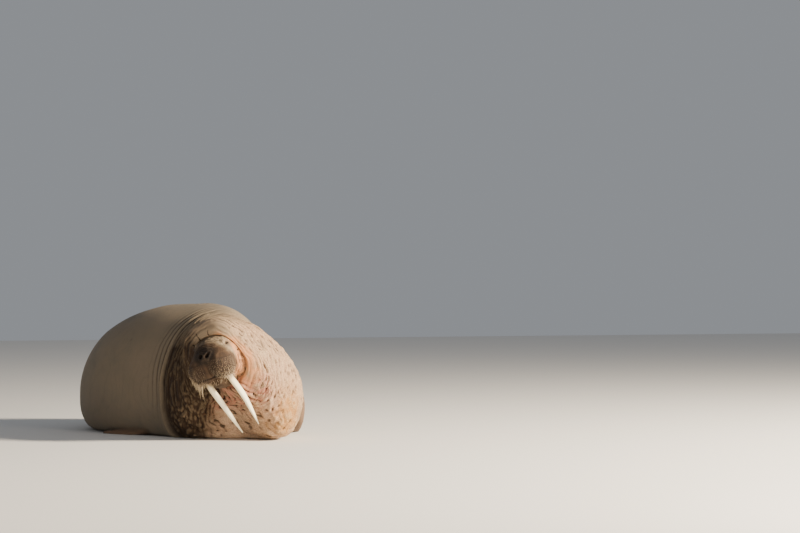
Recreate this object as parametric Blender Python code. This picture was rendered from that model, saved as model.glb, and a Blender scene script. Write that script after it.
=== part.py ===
"""A bull walrus at rest on its belly, as a still, life-size model.

Metres, +Z up. The animal faces -Y with its head turned to its own right (-X), its left side is +X, and
it rests on the floor at z = 0. The trunk, neck and head are one skin lofted from the tail to the nose,
which is parted at a few rings into tail, hips, torso, chest, neck, head and muzzle.
"""

import math
import random

import bmesh
import bpy
import numpy as np

# General sizes
GAP = 0.0003  # kept between pieces that touch
AROUND = 48  # points round each ring of the skin
SQUARENESS = ((2.10, 1.65), (2.9, 2.35))  # of a ring above and below, to the right and left: 2 is round
SHARP_FROM = 50.0  # degrees between faces, from which an edge is shaded sharp
WELDED = 0.000001  # points closer than this are one, after a cut
SAG = 0.056  # how far above and below the floor the flesh rounds over on to it

# The head's frame starts midway between the eyes. Its axes are left, forward and up.
EYES_MIDDLE = (0.087, -0.194, 0.661)
HEAD_TURN = 45.0
HEAD_PITCH = -16.0
HEAD_ROLL = 13.0
HEAD_AXIS_UP = -0.112  # height in the head's frame of the line that its rings are centred on
CAP_START = 0.047  # how far forward that line runs before the rings fan out over the muzzle

# Rings of the trunk: centre x, y, z, then turn, pitch and roll of the ring's forward axis in degrees,
# and its reach to the animal's right, left, up and down.
TRUNK_RINGS = [
    ("tail end", 0.693, 2.567, 0.102, 28, 0, 0, 0.047, 0.047, 0.0167, 0.0205),
    ("tail root", 0.646, 2.474, 0.116, 28, 0, 0, 0.116, 0.116, 0.060, 0.079),
    ("rump", 0.564, 2.325, 0.158, 25, 0, 0, 0.233, 0.233, 0.195, 0.186),
    ("hips", 0.466, 2.130, 0.205, 20, 0, 0, 0.363, 0.363, 0.344, 0.270),
    ("loin", 0.372, 1.860, 0.251, 10, 0, 0, 0.512, 0.474, 0.493, 0.344),
    ("belly", 0.316, 1.525, 0.279, 1, 0, 0, 0.618, 0.563, 0.586, 0.391),
    ("torso", 0.344, 1.116, 0.307, -1, 0, 0, 0.628, 0.577, 0.621, 0.428),
    ("shoulders", 0.409, 0.707, 0.326, 7, 0, 0, 0.549, 0.549, 0.609, 0.446),
    ("chest", 0.424, 0.372, 0.344, 19, 5, 2, 0.474, 0.512, 0.563, 0.465),
    ("neck", 0.353, 0.140, 0.381, 29, 8, 5, 0.400, 0.479, 0.488, 0.363),
    ("throat", 0.265, 0.000, 0.484, 37, 8, 9, 0.307, 0.391, 0.362, 0.270),
]

# Places where the flesh is pushed from the smooth shape: centre, radius and push
PUSHED = [
    ("breast", (0.558, -0.121, 0.140), 0.214, (0.000, -0.149, -0.084)),
    ("throat hollow", (0.167, -0.140, 0.186), 0.242, (0.074, 0.093, 0.0279)),
    ("behind the tusks", (0.326, -0.047, 0.084), 0.177, (0.0186, 0.130, 0.0186)),
    ("shoulder slope", (0.837, 0.233, 0.790), 0.307, (-0.065, 0.0186, -0.074)),
]

# Rings of the hood of skin that the head is drawn back into, in the head's frame: how far forward,
# which section of the head it follows, and how far it stands off that section to the right, up, to
# the left and down.
HOOD_RINGS = [
    ("outer fold", -0.080, -0.040, 0.105, 0.086, 0.150, 0.080),
    ("hood crest", -0.044, -0.034, 0.044, 0.031, 0.100, 0.034),
    ("hood lip", -0.038, -0.032, 0.017, 0.011, 0.076, 0.020),
    ("crease", -0.056, -0.036, 0.006, 0.004, 0.068, 0.010),
]
# The first rings of the head, in the same terms: its left cheek runs out into the neck
NAPE_RINGS = [
    ("nape", -0.046, -0.042, 0.000, 0.000, 0.060, 0.004),
    ("cheek", -0.032, -0.031, 0.000, 0.000, 0.040, 0.000),
    ("temple", -0.014, -0.014, 0.000, 0.000, 0.018, 0.000),
]
CHEEK_LOW = 38.0  # degrees below level where a ring stands off furthest to the left
HEAD_SECTIONS = (0.004, 0.0256, CAP_START)
MUZZLE_OPENINGS = (81, 72, 63, 54, 45, 36, 27, 18, 9)  # degrees off the line forward

# How many steps each stretch between two key rings takes, from the tail end to the crease
STEPS = (1, 2, 3, 3, 4, 5, 6, 9, 9, 7, 6, 2, 2, 2)

# Folds of skin round the neck
FOLD_STRETCH = (7.7, 10.9)  # in key rings
FOLD_COUNT = 7
FOLD_DEPTH = 0.0279
FOLD_LEANS = ((0.10, 2.0, 0.6), (0.05, 5.0, 0.0))  # waves of their line round the neck: reach, count, start
FOLD_EASE = 0.7  # how soon they reach their full depth
FOLD_STRENGTH = (0.70, 0.30)  # shares of the depth all round, and added towards the right
FOLD_LEVEL = 0.6  # share of a fold's height that is the smooth skin's level

# Masses of the head in its frame, centre and radii; the muzzle's are mirrored for the other side.
CRANIUM = ((-0.008, -0.056, -0.053), (0.148, 0.200, 0.105))
JAW = ((-0.006, -0.004, -0.122), (0.144, 0.154, 0.118))
BRIDGE = ((0.000, 0.070, -0.065), (0.082, 0.104, 0.060))
PAD = ((0.080, 0.091, -0.126), (0.090, 0.102, 0.097))
PAD_LIFT = 0.012  # the left pad is higher than the right one, pressed up by the neck
CHIN = ((0.004, 0.022, -0.235), (0.086, 0.078, 0.066))
BLENDED = 0.042  # how widely the masses run into one another
PADS_BLENDED = 0.0167  # less between the whisker pads and the chin, which leaves creases

# Eyes
EYE_FORWARD = 0.0093
EYE_ANGLE = 41.0  # degrees above level, seen from the middle of the head's ring
EYE_RADIUS = 0.0195
EYE_SUNK = 0.0130  # centre of the ball below the skin
LID_RADIUS = 0.0056
LID_OPENINGS = (37.0, -33.0)  # degrees above and below the middle of the ball
LID_REACH = 60.0  # degrees to either corner
LID_POINTS = 9
LID_STANDS = 0.4  # how far its middle is outside the ball, in its own radii
LID_CORNER = 0.55  # its thickness there, against the middle

# Nostrils, mouth and ears, in the head's frame
NOSTRIL = (0.0240, 0.149, -0.033)
NOSTRIL_RADII = (0.0056, 0.013, 0.0102)
MOUTH_UP = -0.199
MOUTH_ARCH = 0.0167  # how far the line rises half way along each side
MOUTH_SWEEP = (-8.0, 58.0)  # degrees off straight ahead, from the middle out to the corner
MOUTH_POINTS = 7
MOUTH_START = 0.0279  # how far forward the point is that the sweep is measured from
MOUTH_RADIUS = 0.0051
EAR_RING = 1  # the one of the nape's rings that the openings of the ears are on
EAR_ANGLE = 12.0  # degrees above level
EAR_RADIUS = 0.0047

# Tusks, in the head's frame, from the root in the jaw to the tip; the other side is mirrored
TUSK_PATH = [
    (0.078, 0.100, -0.140),
    (0.093, 0.044, -0.270),
    (0.094, -0.035, -0.409),
    (0.086, -0.093, -0.539),
    (0.074, -0.156, -0.684),
]
TUSK_LENGTHS = {"left": 0.92, "right": 1.0}  # shares of that path
TUSK_RADII = (0.0223, 0.0242, 0.0237, 0.0177, 0.0037)
TUSK_FLATNESS = 0.80  # side to side against front to back
TUSK_SIDES = 10
TUSK_STEPS = 3

# Whiskers
WHISKER_ROWS = 7
WHISKERS_PER_ROW = 7
WHISKER_RADIUS = 0.002
WHISKER_SUNK = 0.0065
WHISKER_LENGTHS = (0.026, 0.084)  # near the nose, and at the lip's outer corner
WHISKER_TURNS = (-34.0, 78.0)  # degrees off straight ahead from the pad's middle, inner to outer
WHISKER_HEIGHTS = (24.0, -54.0)  # degrees above level, top row to bottom row
WHISKER_SCATTER = 4.0  # degrees
WHISKER_SPREAD = (0.25, 0.15)  # how far their way leans outwards at the corner, and forwards
WHISKER_FALL = (0.55, 0.50)  # how far it leans down, and how much more in the lowest row
WHISKER_DROOP = 0.30
WHISKER_LATE = 0.35  # share of their growth in length that the innermost ones have
WHISKER_UNEVEN = (0.8, 1.1)
WHISKER_TAPER = (1.15, 1.0, 0.72, 0.20)  # thickness from the sunk root to the tip

# Digits of a flipper
DIGITS = 5
COLUMNS_PER_DIGIT = 3
FORE_DIGITS = (1.00, 0.97, 0.91, 0.83, 0.74)  # lengths, from the leading edge back
HIND_DIGITS = (1.00, 0.88, 0.82, 0.87, 0.98)
DIGIT_RIDGE = 0.30
DIGIT_LOBE = 0.0279
EDGE_POWER = 2.6  # how square a flipper's section is
EDGE_THINNEST = 0.03  # the square of the share of its thickness that is left at the edge
TOP_FACES = (0.6, 0.8)  # the side that is a flipper's top looks outwards and up by these shares
RIDGED = (0.3, 0.6)  # shares of its length where the ridges over its digits start and are full
LIES_FROM = 2  # the station where a flipper comes down on the floor, flat from the next one on

# Stations of a flipper: place, half width, half thickness, and the turn in degrees of its width towards
# the leading edge. A foreflipper's place is in the object's frame. The right one lies folded under the
# flank.
LEFT_FORE_STATIONS = [
    ("root", 0.837, 0.372, 0.391, 0.121, 0.074, -85),
    ("elbow", 0.916, 0.437, 0.242, 0.126, 0.079, -80),
    ("wrist", 0.939, 0.558, 0.102, 0.116, 0.051, -40),
    ("palm", 0.953, 0.707, 0.033, 0.130, 0.032, 5),
    ("digits", 0.981, 0.865, 0.0223, 0.144, 0.0214, 8),
    ("tips", 1.009, 1.023, 0.0112, 0.149, 0.0112, 8),
]
RIGHT_FORE_STATIONS = [
    ("root", 0.140, 0.614, 0.061, 0.102, 0.043, 240),
    ("elbow", 0.088, 0.688, 0.056, 0.104, 0.043, 225),
    ("wrist", 0.0279, 0.781, 0.043, 0.110, 0.037, 212),
    ("palm", -0.047, 0.911, 0.032, 0.121, 0.031, 205),
    ("digits", -0.112, 1.051, 0.0214, 0.130, 0.0205, 203),
    ("tips", -0.167, 1.190, 0.0112, 0.135, 0.0112, 203),
]
# A hindflipper's place is measured from the rump: across, back and up. The right one is mirrored.
HIND_TURN = 28.0
HIND_START = (0.564, 2.325)
HIND_STATIONS = [
    ("root", 0.112, -0.074, 0.149, 0.074, 0.070, 0),
    ("ankle", 0.144, 0.056, 0.112, 0.079, 0.056, -6),
    ("heel", 0.167, 0.167, 0.056, 0.093, 0.039, -12),
    ("sole", 0.195, 0.298, 0.0279, 0.121, 0.026, -13),
    ("digits", 0.228, 0.437, 0.0195, 0.153, 0.0186, -13),
    ("tips", 0.260, 0.577, 0.0102, 0.177, 0.0102, -13),
]
STATION_STEPS = 2


def clear_scene():
    for old in list(bpy.data.objects):
        bpy.data.objects.remove(old)


def material(name, colour, roughness):
    made = bpy.data.materials.new(name)
    made.use_nodes = True
    surface = made.node_tree.nodes["Principled BSDF"]
    surface.inputs["Base Color"].default_value = (*colour, 1.0)
    surface.inputs["Roughness"].default_value = roughness
    surface.inputs["Metallic"].default_value = 0.0
    return made


def axes_of(turn, pitch, roll):
    """The left, forward and up axes of something that faces -Y before it is turned to its right."""
    turn, pitch, roll = (math.radians(a) for a in (turn, pitch, roll))
    level = np.array([math.cos(turn), -math.sin(turn), 0.0])
    ahead = np.array([-math.sin(turn), -math.cos(turn), 0.0])
    forward = ahead * math.cos(pitch) + np.array([0.0, 0.0, math.sin(pitch)])
    upright = np.cross(forward, level)
    left = level * math.cos(roll) + upright * math.sin(roll)
    return left, forward, np.cross(forward, left)


HEAD_AXES = np.array(axes_of(HEAD_TURN, HEAD_PITCH, HEAD_ROLL))


def from_head(points):
    """Points of the head's frame in the object's."""
    return np.asarray(points, float) @ HEAD_AXES + np.array(EYES_MIDDLE)


def mass_centre(mass, side):
    """The centre of a mass, mirrored for the other side; the pads lean."""
    lift = PAD_LIFT * side if mass is PAD else 0.0
    return np.array(mass[0]) * (side, 1.0, 1.0) + np.array([0.0, 0.0, lift])


def ellipsoid_depth(points, mass, side=1.0):
    """Roughly the distance of points outside an ellipsoid, below zero inside it."""
    centre, radii = mass_centre(mass, side), np.array(mass[1])
    scaled = (points - centre) / radii
    reach = np.linalg.norm(scaled, axis=-1)
    slope = np.linalg.norm(scaled / radii, axis=-1)
    return reach * (reach - 1.0) / np.maximum(slope, 1e-9)


def blend(first, second, width):
    """The union of two depths, rounded where they meet."""
    share = np.clip(0.5 + 0.5 * (second - first) / width, 0.0, 1.0)
    return second + (first - second) * share - width * share * (1.0 - share)


def head_depth(points):
    """Roughly the distance outside the head, for points in its frame."""
    skull = blend(ellipsoid_depth(points, CRANIUM), ellipsoid_depth(points, JAW), BLENDED)
    skull = blend(skull, ellipsoid_depth(points, BRIDGE), BLENDED)
    pads = blend(ellipsoid_depth(points, PAD), ellipsoid_depth(points, PAD, -1.0), PADS_BLENDED)
    skull = blend(skull, pads, BLENDED)
    return blend(skull, ellipsoid_depth(points, CHIN), PADS_BLENDED)


def head_surface(origins, directions, reach=0.45):
    """Where rays from inside the head leave it, in its frame."""
    near = np.zeros(directions.shape[:-1])
    far = near + reach
    for _ in range(34):
        middle = 0.5 * (near + far)
        inside = head_depth(origins + directions * middle[..., None]) < 0.0
        near = np.where(inside, middle, near)
        far = np.where(inside, far, middle)
    return origins + directions * far[..., None]


def head_normal(point, step=0.002):
    """The outward direction of the head's skin at a point of its frame."""
    slope = [head_depth(point + d) - head_depth(point - d) for d in np.eye(3) * step]
    return np.array(slope) / np.linalg.norm(slope)


def ring_angles():
    return np.linspace(0.0, 2.0 * math.pi, AROUND, endpoint=False)


def trunk_ring(ring, phi):
    """Points of one ring of the trunk, from the animal's left over its back."""
    _, x, y, z, turn, pitch, roll, right, left, up, down = ring
    left_axis, _, up_axis = axes_of(turn, pitch, roll)
    across, upward = np.cos(phi), np.sin(phi)
    (right_above, left_above), (right_below, left_below) = SQUARENESS
    above = np.where(across > 0, left_above, right_above)
    below = np.where(across > 0, left_below, right_below)
    power = 2.0 / np.where(upward > 0, above, below)
    wide = np.where(across > 0, left, right) * np.sign(across) * np.abs(across) ** power
    high = np.where(upward > 0, up, down) * np.sign(upward) * np.abs(upward) ** power
    return np.array([x, y, z]) + wide[:, None] * left_axis + high[:, None] * up_axis


def head_ring(forward, phi, section=None, stand_off=(0.0, 0.0, 0.0, 0.0)):
    """Points of a flat ring round the head, which may stand off the section that it follows."""
    section = forward if section is None else section
    right, up, left, down = stand_off
    across, upward = np.cos(phi), np.sin(phi)
    origins = np.array([0.0, section, HEAD_AXIS_UP]) + np.zeros((len(phi), 3))
    directions = np.stack([across, np.zeros_like(phi), upward], axis=-1)
    cheek = np.cos(phi + math.radians(CHEEK_LOW))
    off = left * np.clip(cheek, 0.0, 1.0) ** 2 + right * np.clip(-across, 0.0, 1.0) ** 2
    off += np.where(upward > 0, up, down) * upward**2
    points = head_surface(origins, directions) + directions * off[:, None]
    points[:, 1] = forward
    return from_head(points)


def muzzle_ring(opening, phi):
    """Points of a ring over the muzzle, where rays stand at an angle to the forward axis."""
    angle = math.radians(opening)
    origins = np.array([0.0, CAP_START, HEAD_AXIS_UP]) + np.zeros((len(phi), 3))
    ahead = np.full_like(phi, math.cos(angle))
    directions = np.stack([np.cos(phi) * math.sin(angle), ahead, np.sin(phi) * math.sin(angle)], axis=-1)
    return from_head(head_surface(origins, directions))


def smooth_through(keys, samples):
    """A natural cubic spline through key rings, spaced by their mean distance. Samples count in keys."""
    keys = np.array(keys)
    steps = np.linalg.norm(np.diff(keys[..., :3], axis=0), axis=-1).mean(axis=-1)
    place = np.concatenate([[0.0], np.cumsum(steps)])
    count = len(keys)
    matrix = np.eye(count)
    rise = np.zeros_like(keys)
    for i in range(1, count - 1):
        before, after = steps[i - 1], steps[i]
        matrix[i, i - 1 : i + 2] = before, 2.0 * (before + after), after
        rise[i] = 6.0 * ((keys[i + 1] - keys[i]) / after - (keys[i] - keys[i - 1]) / before)
    bend = np.linalg.solve(matrix, rise.reshape(count, -1)).reshape(keys.shape)
    made = []
    for sample in samples:
        i = min(int(sample), count - 2)
        span = steps[i]
        near = place[i] + (sample - i) * span
        a, b = (place[i + 1] - near) / span, (near - place[i]) / span
        curve = (a**3 - a) * bend[i] + (b**3 - b) * bend[i + 1]
        made.append(a * keys[i] + b * keys[i + 1] + curve * span * span / 6.0)
    return np.array(made)


def settle(points):
    """Lets the skin down on the floor: what would be below it is pressed flat, with a soft edge."""
    made = points.copy()
    height = np.clip(points[..., 2], -SAG, SAG)
    made[..., 2] = np.maximum(points[..., 2], (height + SAG) ** 2 / (4.0 * SAG))
    return made


def pushed(rings, places):
    """The skin with its bulges and hollows, which fade out before the hood."""
    made = rings.copy()
    fade = np.clip(len(TRUNK_RINGS) - places, 0.0, 1.0)[:, None, None]
    for _, centre, radius, push in PUSHED:
        distance = np.linalg.norm(rings - np.array(centre), axis=-1)
        made += fade * np.exp(-((distance / radius) ** 2))[..., None] * np.array(push)
    return made


def outward(rings):
    """Unit normals of a skin of rings, pointing away from the middle of each ring."""
    along = np.gradient(rings, axis=0)
    round_ = np.roll(rings, -1, axis=1) - np.roll(rings, 1, axis=1)
    normals = np.cross(along, round_)
    normals /= np.maximum(np.linalg.norm(normals, axis=-1, keepdims=True), 1e-9)
    spokes = rings - rings.mean(axis=1, keepdims=True)
    return normals * np.sign((normals * spokes).sum(axis=-1).mean())


def fold_height(places, phi):
    """Folds of the neck's skin: round crests, narrow valleys, strongest over the back and right."""
    first, last = FOLD_STRETCH
    way = np.clip((places - first) / (last - first), 0.0, 1.0)[:, None]
    lean = sum(reach * np.cos(count * phi + start) for reach, count, start in FOLD_LEANS)
    wave = np.abs(np.sin(math.pi * (way * FOLD_COUNT + lean)))
    all_round, to_right = FOLD_STRENGTH
    strength = np.sin(math.pi * way) ** FOLD_EASE * (all_round - to_right * np.cos(phi))
    return FOLD_DEPTH * strength * (wave - FOLD_LEVEL)


def body_rings():
    """The skin from the tail end to the crease behind the head, and where its key rings are in it."""
    phi = ring_angles()
    keys = [trunk_ring(ring, phi) for ring in TRUNK_RINGS]
    keys += [head_ring(forward, phi, section, off) for _, forward, section, *off in HOOD_RINGS]
    places = [i + step / count for i, count in enumerate(STEPS) for step in range(count)]
    places = np.array(places + [len(STEPS)])
    rings = smooth_through(keys, places)
    rings = pushed(rings, places)
    rings += outward(rings) * fold_height(places, phi)[..., None]
    return settle(rings), places


def head_rings():
    """The skin from the crease to the ring where the muzzle starts."""
    phi = ring_angles()
    shaped = HOOD_RINGS[-1:] + NAPE_RINGS
    rings = [head_ring(forward, phi, section, off) for _, forward, section, *off in shaped]
    return np.array(rings + [head_ring(section, phi) for section in HEAD_SECTIONS])


def muzzle_rings():
    phi = ring_angles()
    return np.array([head_ring(CAP_START, phi)] + [muzzle_ring(opening, phi) for opening in MUZZLE_OPENINGS])


def soften(mesh):
    """Shades a mesh smooth, but for the edges of its cut ends."""
    mesh.shade_smooth()
    mesh.set_sharp_from_angle(angle=math.radians(SHARP_FROM))


def new_object(name, vertices, faces, collection, finish=None):
    mesh = bpy.data.meshes.new(name)
    mesh.from_pydata([tuple(v) for v in vertices], [], faces)
    made = bpy.data.objects.new(name, mesh)
    collection.objects.link(made)
    work = bmesh.new()
    work.from_mesh(mesh)
    bmesh.ops.recalc_face_normals(work, faces=work.faces)
    work.to_mesh(mesh)
    work.free()
    soften(mesh)
    if finish:
        mesh.materials.append(finish)
    return made


def loft(name, rings, collection, finish=None, last=None):
    """A closed solid through rings, its ends closed by fans round their middles or a given last point."""
    rings = np.asarray(rings)
    count, around = rings.shape[:2]
    first = rings[0].mean(axis=0)
    last = rings[-1].mean(axis=0) if last is None else last
    vertices = np.concatenate([rings.reshape(-1, 3), [first, last]])
    near, far = count * around, count * around + 1
    faces = []
    for j in range(around):
        k = (j + 1) % around
        faces.append((near, j, k))
        faces.append((far, near - around + k, near - around + j))
        for i in range(count - 1):
            a, b = i * around + j, i * around + k
            faces.append((a, a + around, b + around))
            faces.append((a, b + around, b))
    return new_object(name, vertices, faces, collection, finish)


def applied(target):
    """Makes a mesh of what an object's modifiers give, and takes the modifiers away."""
    graph = bpy.context.evaluated_depsgraph_get()
    mesh = bpy.data.meshes.new_from_object(target.evaluated_get(graph))
    target.modifiers.clear()
    target.data = mesh
    return target


def keep_largest(target):
    """Drops all but the largest closed surface of an object."""
    work = bmesh.new()
    work.from_mesh(target.data)
    bmesh.ops.remove_doubles(work, verts=work.verts, dist=WELDED)
    bmesh.ops.dissolve_degenerate(work, edges=work.edges, dist=WELDED)
    unseen = set(work.faces)
    pieces = []
    while unseen:
        stack = [unseen.pop()]
        piece = list(stack)
        while stack:
            for edge in stack.pop().edges:
                for face in edge.link_faces:
                    if face in unseen:
                        unseen.remove(face)
                        stack.append(face)
                        piece.append(face)
        pieces.append(piece)
    pieces.sort(key=lambda piece: sum(face.calc_area() for face in piece))
    loose = [face for piece in pieces[:-1] for face in piece]
    bmesh.ops.delete(work, geom=loose, context="FACES")
    bmesh.ops.triangulate(work, faces=work.faces)
    work.to_mesh(target.data)
    work.free()
    soften(target.data)
    return target


def combine(target, others, operation, solver="EXACT"):
    """Joins others to an object, or cuts them out of it, and keeps its largest closed surface."""
    group = bpy.data.collections.new(target.name + "_with")
    bpy.context.scene.collection.children.link(group)
    for other in others:
        group.objects.link(other)
    change = target.modifiers.new(operation.lower(), "BOOLEAN")
    change.operation = operation
    change.solver = solver
    change.operand_type = "COLLECTION"
    change.collection = group
    applied(target)
    keep_largest(target)
    for other in others:
        group.objects.unlink(other)
    bpy.data.collections.remove(group)
    return target


def remove(objects):
    for old in objects:
        bpy.data.objects.remove(old)


def tube(name, points, radii, collection, sides=6):
    """A tapered tube along points, its ends closed."""
    points = np.asarray(points, float)
    along = np.gradient(points, axis=0)
    along /= np.linalg.norm(along, axis=1, keepdims=True)
    side = np.array([0.0, 0.0, 1.0])
    turn = np.linspace(0.0, 2.0 * math.pi, sides, endpoint=False)
    rings = []
    for centre, way, radius in zip(points, along, radii):
        across = side - way * np.dot(side, way)
        across /= np.linalg.norm(across)
        other = np.cross(way, across)
        ring = np.cos(turn)[:, None] * across + np.sin(turn)[:, None] * other
        rings.append(centre + radius * ring)
    return loft(name, rings, collection)


def path_through(points, steps):
    keys = np.asarray(points, float)[:, None, :]
    samples = np.linspace(0.0, len(points) - 1.0, (len(points) - 1) * steps + 1)
    return smooth_through(keys, samples)[:, 0, :]


def head_point(side, forward, degrees):
    """A point of the head's skin and its outward direction, in the head's frame."""
    angle = math.radians(degrees)
    origin = np.array([0.0, forward, HEAD_AXIS_UP])
    direction = np.array([side * math.cos(angle), 0.0, math.sin(angle)])
    point = head_surface(origin, direction)
    return point, head_normal(point)


def eye_centre(side):
    point, normal = head_point(side, EYE_FORWARD, EYE_ANGLE)
    return point - normal * EYE_SUNK, normal


def ear_point(side):
    """The middle of an ear's opening, in the head's frame."""
    _, forward, section, *off = NAPE_RINGS[EAR_RING]
    angle = np.radians([EAR_ANGLE if side > 0 else 180.0 - EAR_ANGLE])
    return (head_ring(forward, angle, section, off)[0] - np.array(EYES_MIDDLE)) @ HEAD_AXES.T


def ball(name, centre, radius, collection, finish=None, segments=14, scale=(1.0, 1.0, 1.0)):
    """A round solid whose centre and own axes are in the head's frame."""
    mesh = bpy.data.meshes.new(name)
    work = bmesh.new()
    bmesh.ops.create_uvsphere(work, u_segments=segments, v_segments=segments // 2, radius=radius)
    for vertex in work.verts:
        vertex.co = from_head(np.array(vertex.co) * scale + centre)
    work.normal_update()
    bmesh.ops.recalc_face_normals(work, faces=work.faces)
    work.to_mesh(mesh)
    work.free()
    mesh.shade_smooth()
    if finish:
        mesh.materials.append(finish)
    made = bpy.data.objects.new(name, mesh)
    collection.objects.link(made)
    return made


def lids(side, collection):
    """Two folds of skin over the ball of an eye, from corner to corner."""
    centre, out = eye_centre(side)
    ahead = np.array([0.0, 1.0, 0.0]) - out * out[1]
    ahead /= np.linalg.norm(ahead)
    over = np.cross(out, ahead) * side
    over *= np.sign(over[2])
    made = []
    for number, opening in enumerate(LID_OPENINGS):
        swing = np.radians(np.linspace(-LID_REACH, LID_REACH, LID_POINTS))
        middling = np.cos(swing * 90.0 / LID_REACH)
        tilt = np.radians(opening) * middling
        reach = EYE_RADIUS + LID_RADIUS * LID_STANDS
        way = (
            np.sin(swing)[:, None] * ahead
            + (np.cos(swing) * np.cos(tilt))[:, None] * out
            + (np.cos(swing) * np.sin(tilt))[:, None] * over
        )
        points = from_head(centre + reach * way)
        thick = LID_RADIUS * (LID_CORNER + (1.0 - LID_CORNER) * middling)
        made.append(tube(f"lid_{number}", points, thick, collection))
    return made


def whiskers(side, collection, chance):
    """The rows of stiff whiskers on one pad, longer and more drooping towards the lip's corner."""
    made = []
    centre = mass_centre(PAD, side)
    for row in range(WHISKER_ROWS):
        down = row / (WHISKER_ROWS - 1)
        for place in range(WHISKERS_PER_ROW):
            outer = place / (WHISKERS_PER_ROW - 1)
            turn = np.interp(outer, (0.0, 1.0), WHISKER_TURNS) + chance.uniform(-1, 1) * WHISKER_SCATTER
            height = np.interp(down, (0.0, 1.0), WHISKER_HEIGHTS) + chance.uniform(-1, 1) * WHISKER_SCATTER
            turn, height = math.radians(turn), math.radians(height)
            level = np.array([side * math.sin(turn), math.cos(turn), 0.0])
            root = head_surface(centre, level * math.cos(height) + np.array([0.0, 0.0, math.sin(height)]))
            normal = head_normal(root)
            short, long = WHISKER_LENGTHS
            grown = down * (WHISKER_LATE + (1.0 - WHISKER_LATE) * outer)
            length = short + (long - short) * grown * chance.uniform(*WHISKER_UNEVEN)
            (sideways, ahead), (fall, more) = WHISKER_SPREAD, WHISKER_FALL
            way = normal + np.array([sideways * side * outer, ahead, -fall - more * down])
            way /= np.linalg.norm(way)
            sag = np.array([0.0, 0.0, -1.0]) * length * WHISKER_DROOP
            share = np.array([0.0, 0.5, 1.0])[:, None]
            points = root + way * length * share + sag * share**2
            points = np.concatenate([[root - normal * WHISKER_SUNK], points])
            thick = WHISKER_RADIUS * np.array(WHISKER_TAPER)
            made.append(tube("whisker", from_head(points), thick, collection, sides=3))
    return made


def tusk_rings(side, length, grown=0.0):
    """Rings of one tusk. A grown one is thicker all over and longer, for cutting its socket."""
    path = path_through(np.array(TUSK_PATH) * (side, 1.0, 1.0), TUSK_STEPS)
    path = path[0] + (path - path[0]) * length
    radii = path_through(np.array([(r, 0.0, 0.0) for r in TUSK_RADII]), TUSK_STEPS)[:, 0]
    along = np.gradient(path, axis=0)
    along /= np.linalg.norm(along, axis=1, keepdims=True)
    path[0] -= along[0] * grown
    path[-1] += along[-1] * grown
    turn = np.linspace(0.0, 2.0 * math.pi, TUSK_SIDES, endpoint=False)
    rings = []
    for centre, way, radius in zip(path, along, radii):
        across = np.array([1.0, 0.0, 0.0]) - way * way[0]
        across /= np.linalg.norm(across)
        other = np.cross(way, across)
        wide = radius * TUSK_FLATNESS + grown
        deep = radius + grown
        rings.append(centre + wide * np.cos(turn)[:, None] * across + deep * np.sin(turn)[:, None] * other)
    return from_head(np.array(rings))


def mouth_cutter(side, collection):
    """A thin round bar along one half of the mouth's line, under the whisker pad."""
    points = []
    for share in np.linspace(0.0, 1.0, MOUTH_POINTS):
        angle = math.radians(np.interp(share, (0.0, 1.0), MOUTH_SWEEP))
        rise = MOUTH_ARCH * (1.0 - abs(1.0 - 2.0 * share))
        origin = np.array([0.0, MOUTH_START, MOUTH_UP + rise + side * share * PAD_LIFT])
        points.append(head_surface(origin, np.array([side * math.sin(angle), math.cos(angle), 0.0])))
    return tube("mouth_cutter", from_head(points), [MOUTH_RADIUS] * MOUTH_POINTS, collection)


def flipper_rings(stations, digits, outer):
    """Rings of a flipper from its root to the tips of its webbed digits."""
    table = np.array([station[1:] for station in stations], float)
    count = (len(table) - 1) * STATION_STEPS + 1
    keys = smooth_through(table[:, None, :], np.linspace(0.0, len(table) - 1.0, count))[:, 0, :]
    keys = np.concatenate([keys, np.gradient(keys[:, :3], axis=0)], axis=1)
    across = np.linspace(-1.0, 1.0, DIGITS * COLUMNS_PER_DIGIT + 1)
    in_digit = (across + 1.0) / 2.0 * DIGITS
    swell = np.abs(np.sin(math.pi * in_digit))
    length = np.interp(in_digit, np.arange(DIGITS) + 0.5, digits[::-1]) - DIGIT_LOBE * (1.0 - swell)
    edge = np.sqrt(np.clip(1.0 - np.abs(across) ** EDGE_POWER, EDGE_THINNEST, 1.0))
    rings = []
    for t in np.linspace(0.0, 1.0, count):
        reached = t * (1.0 - (1.0 - length) * t * t) * (count - 1)
        at = np.array([np.interp(reached, np.arange(count), column) for column in keys.T]).T
        middle, half_width, half_thick, turn, ahead = at[:, :3], at[:, 3:4], at[:, 4:5], at[:, 5], at[:, 6:]
        ahead = ahead / np.linalg.norm(ahead, axis=1, keepdims=True)
        turn = np.radians(turn)
        side = np.stack([np.cos(turn), np.sin(turn), np.zeros_like(turn)], axis=1)
        side -= ahead * (side * ahead).sum(axis=1, keepdims=True)
        side /= np.linalg.norm(side, axis=1, keepdims=True)
        up = np.cross(side, ahead)
        up *= np.sign(up[len(up) // 2] @ np.array([TOP_FACES[0] * outer, 0.0, TOP_FACES[1]]))
        ridge = 1.0 + DIGIT_RIDGE * (swell - 0.5) * np.interp(t, RIDGED, (0.0, 1.0))
        spread = middle + half_width * across[:, None] * side
        top = spread + up * half_thick * (edge * ridge)[:, None]
        sole = spread - up * half_thick * edge[:, None]
        drop = np.clip(reached / STATION_STEPS - LIES_FROM, 0.0, 1.0) * sole[:, 2]
        top[:, 2] -= drop
        sole[:, 2] = np.maximum(sole[:, 2] - drop, 0.0)
        rings.append(np.concatenate([top, sole[::-1]]))
    return np.array(rings)


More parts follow.
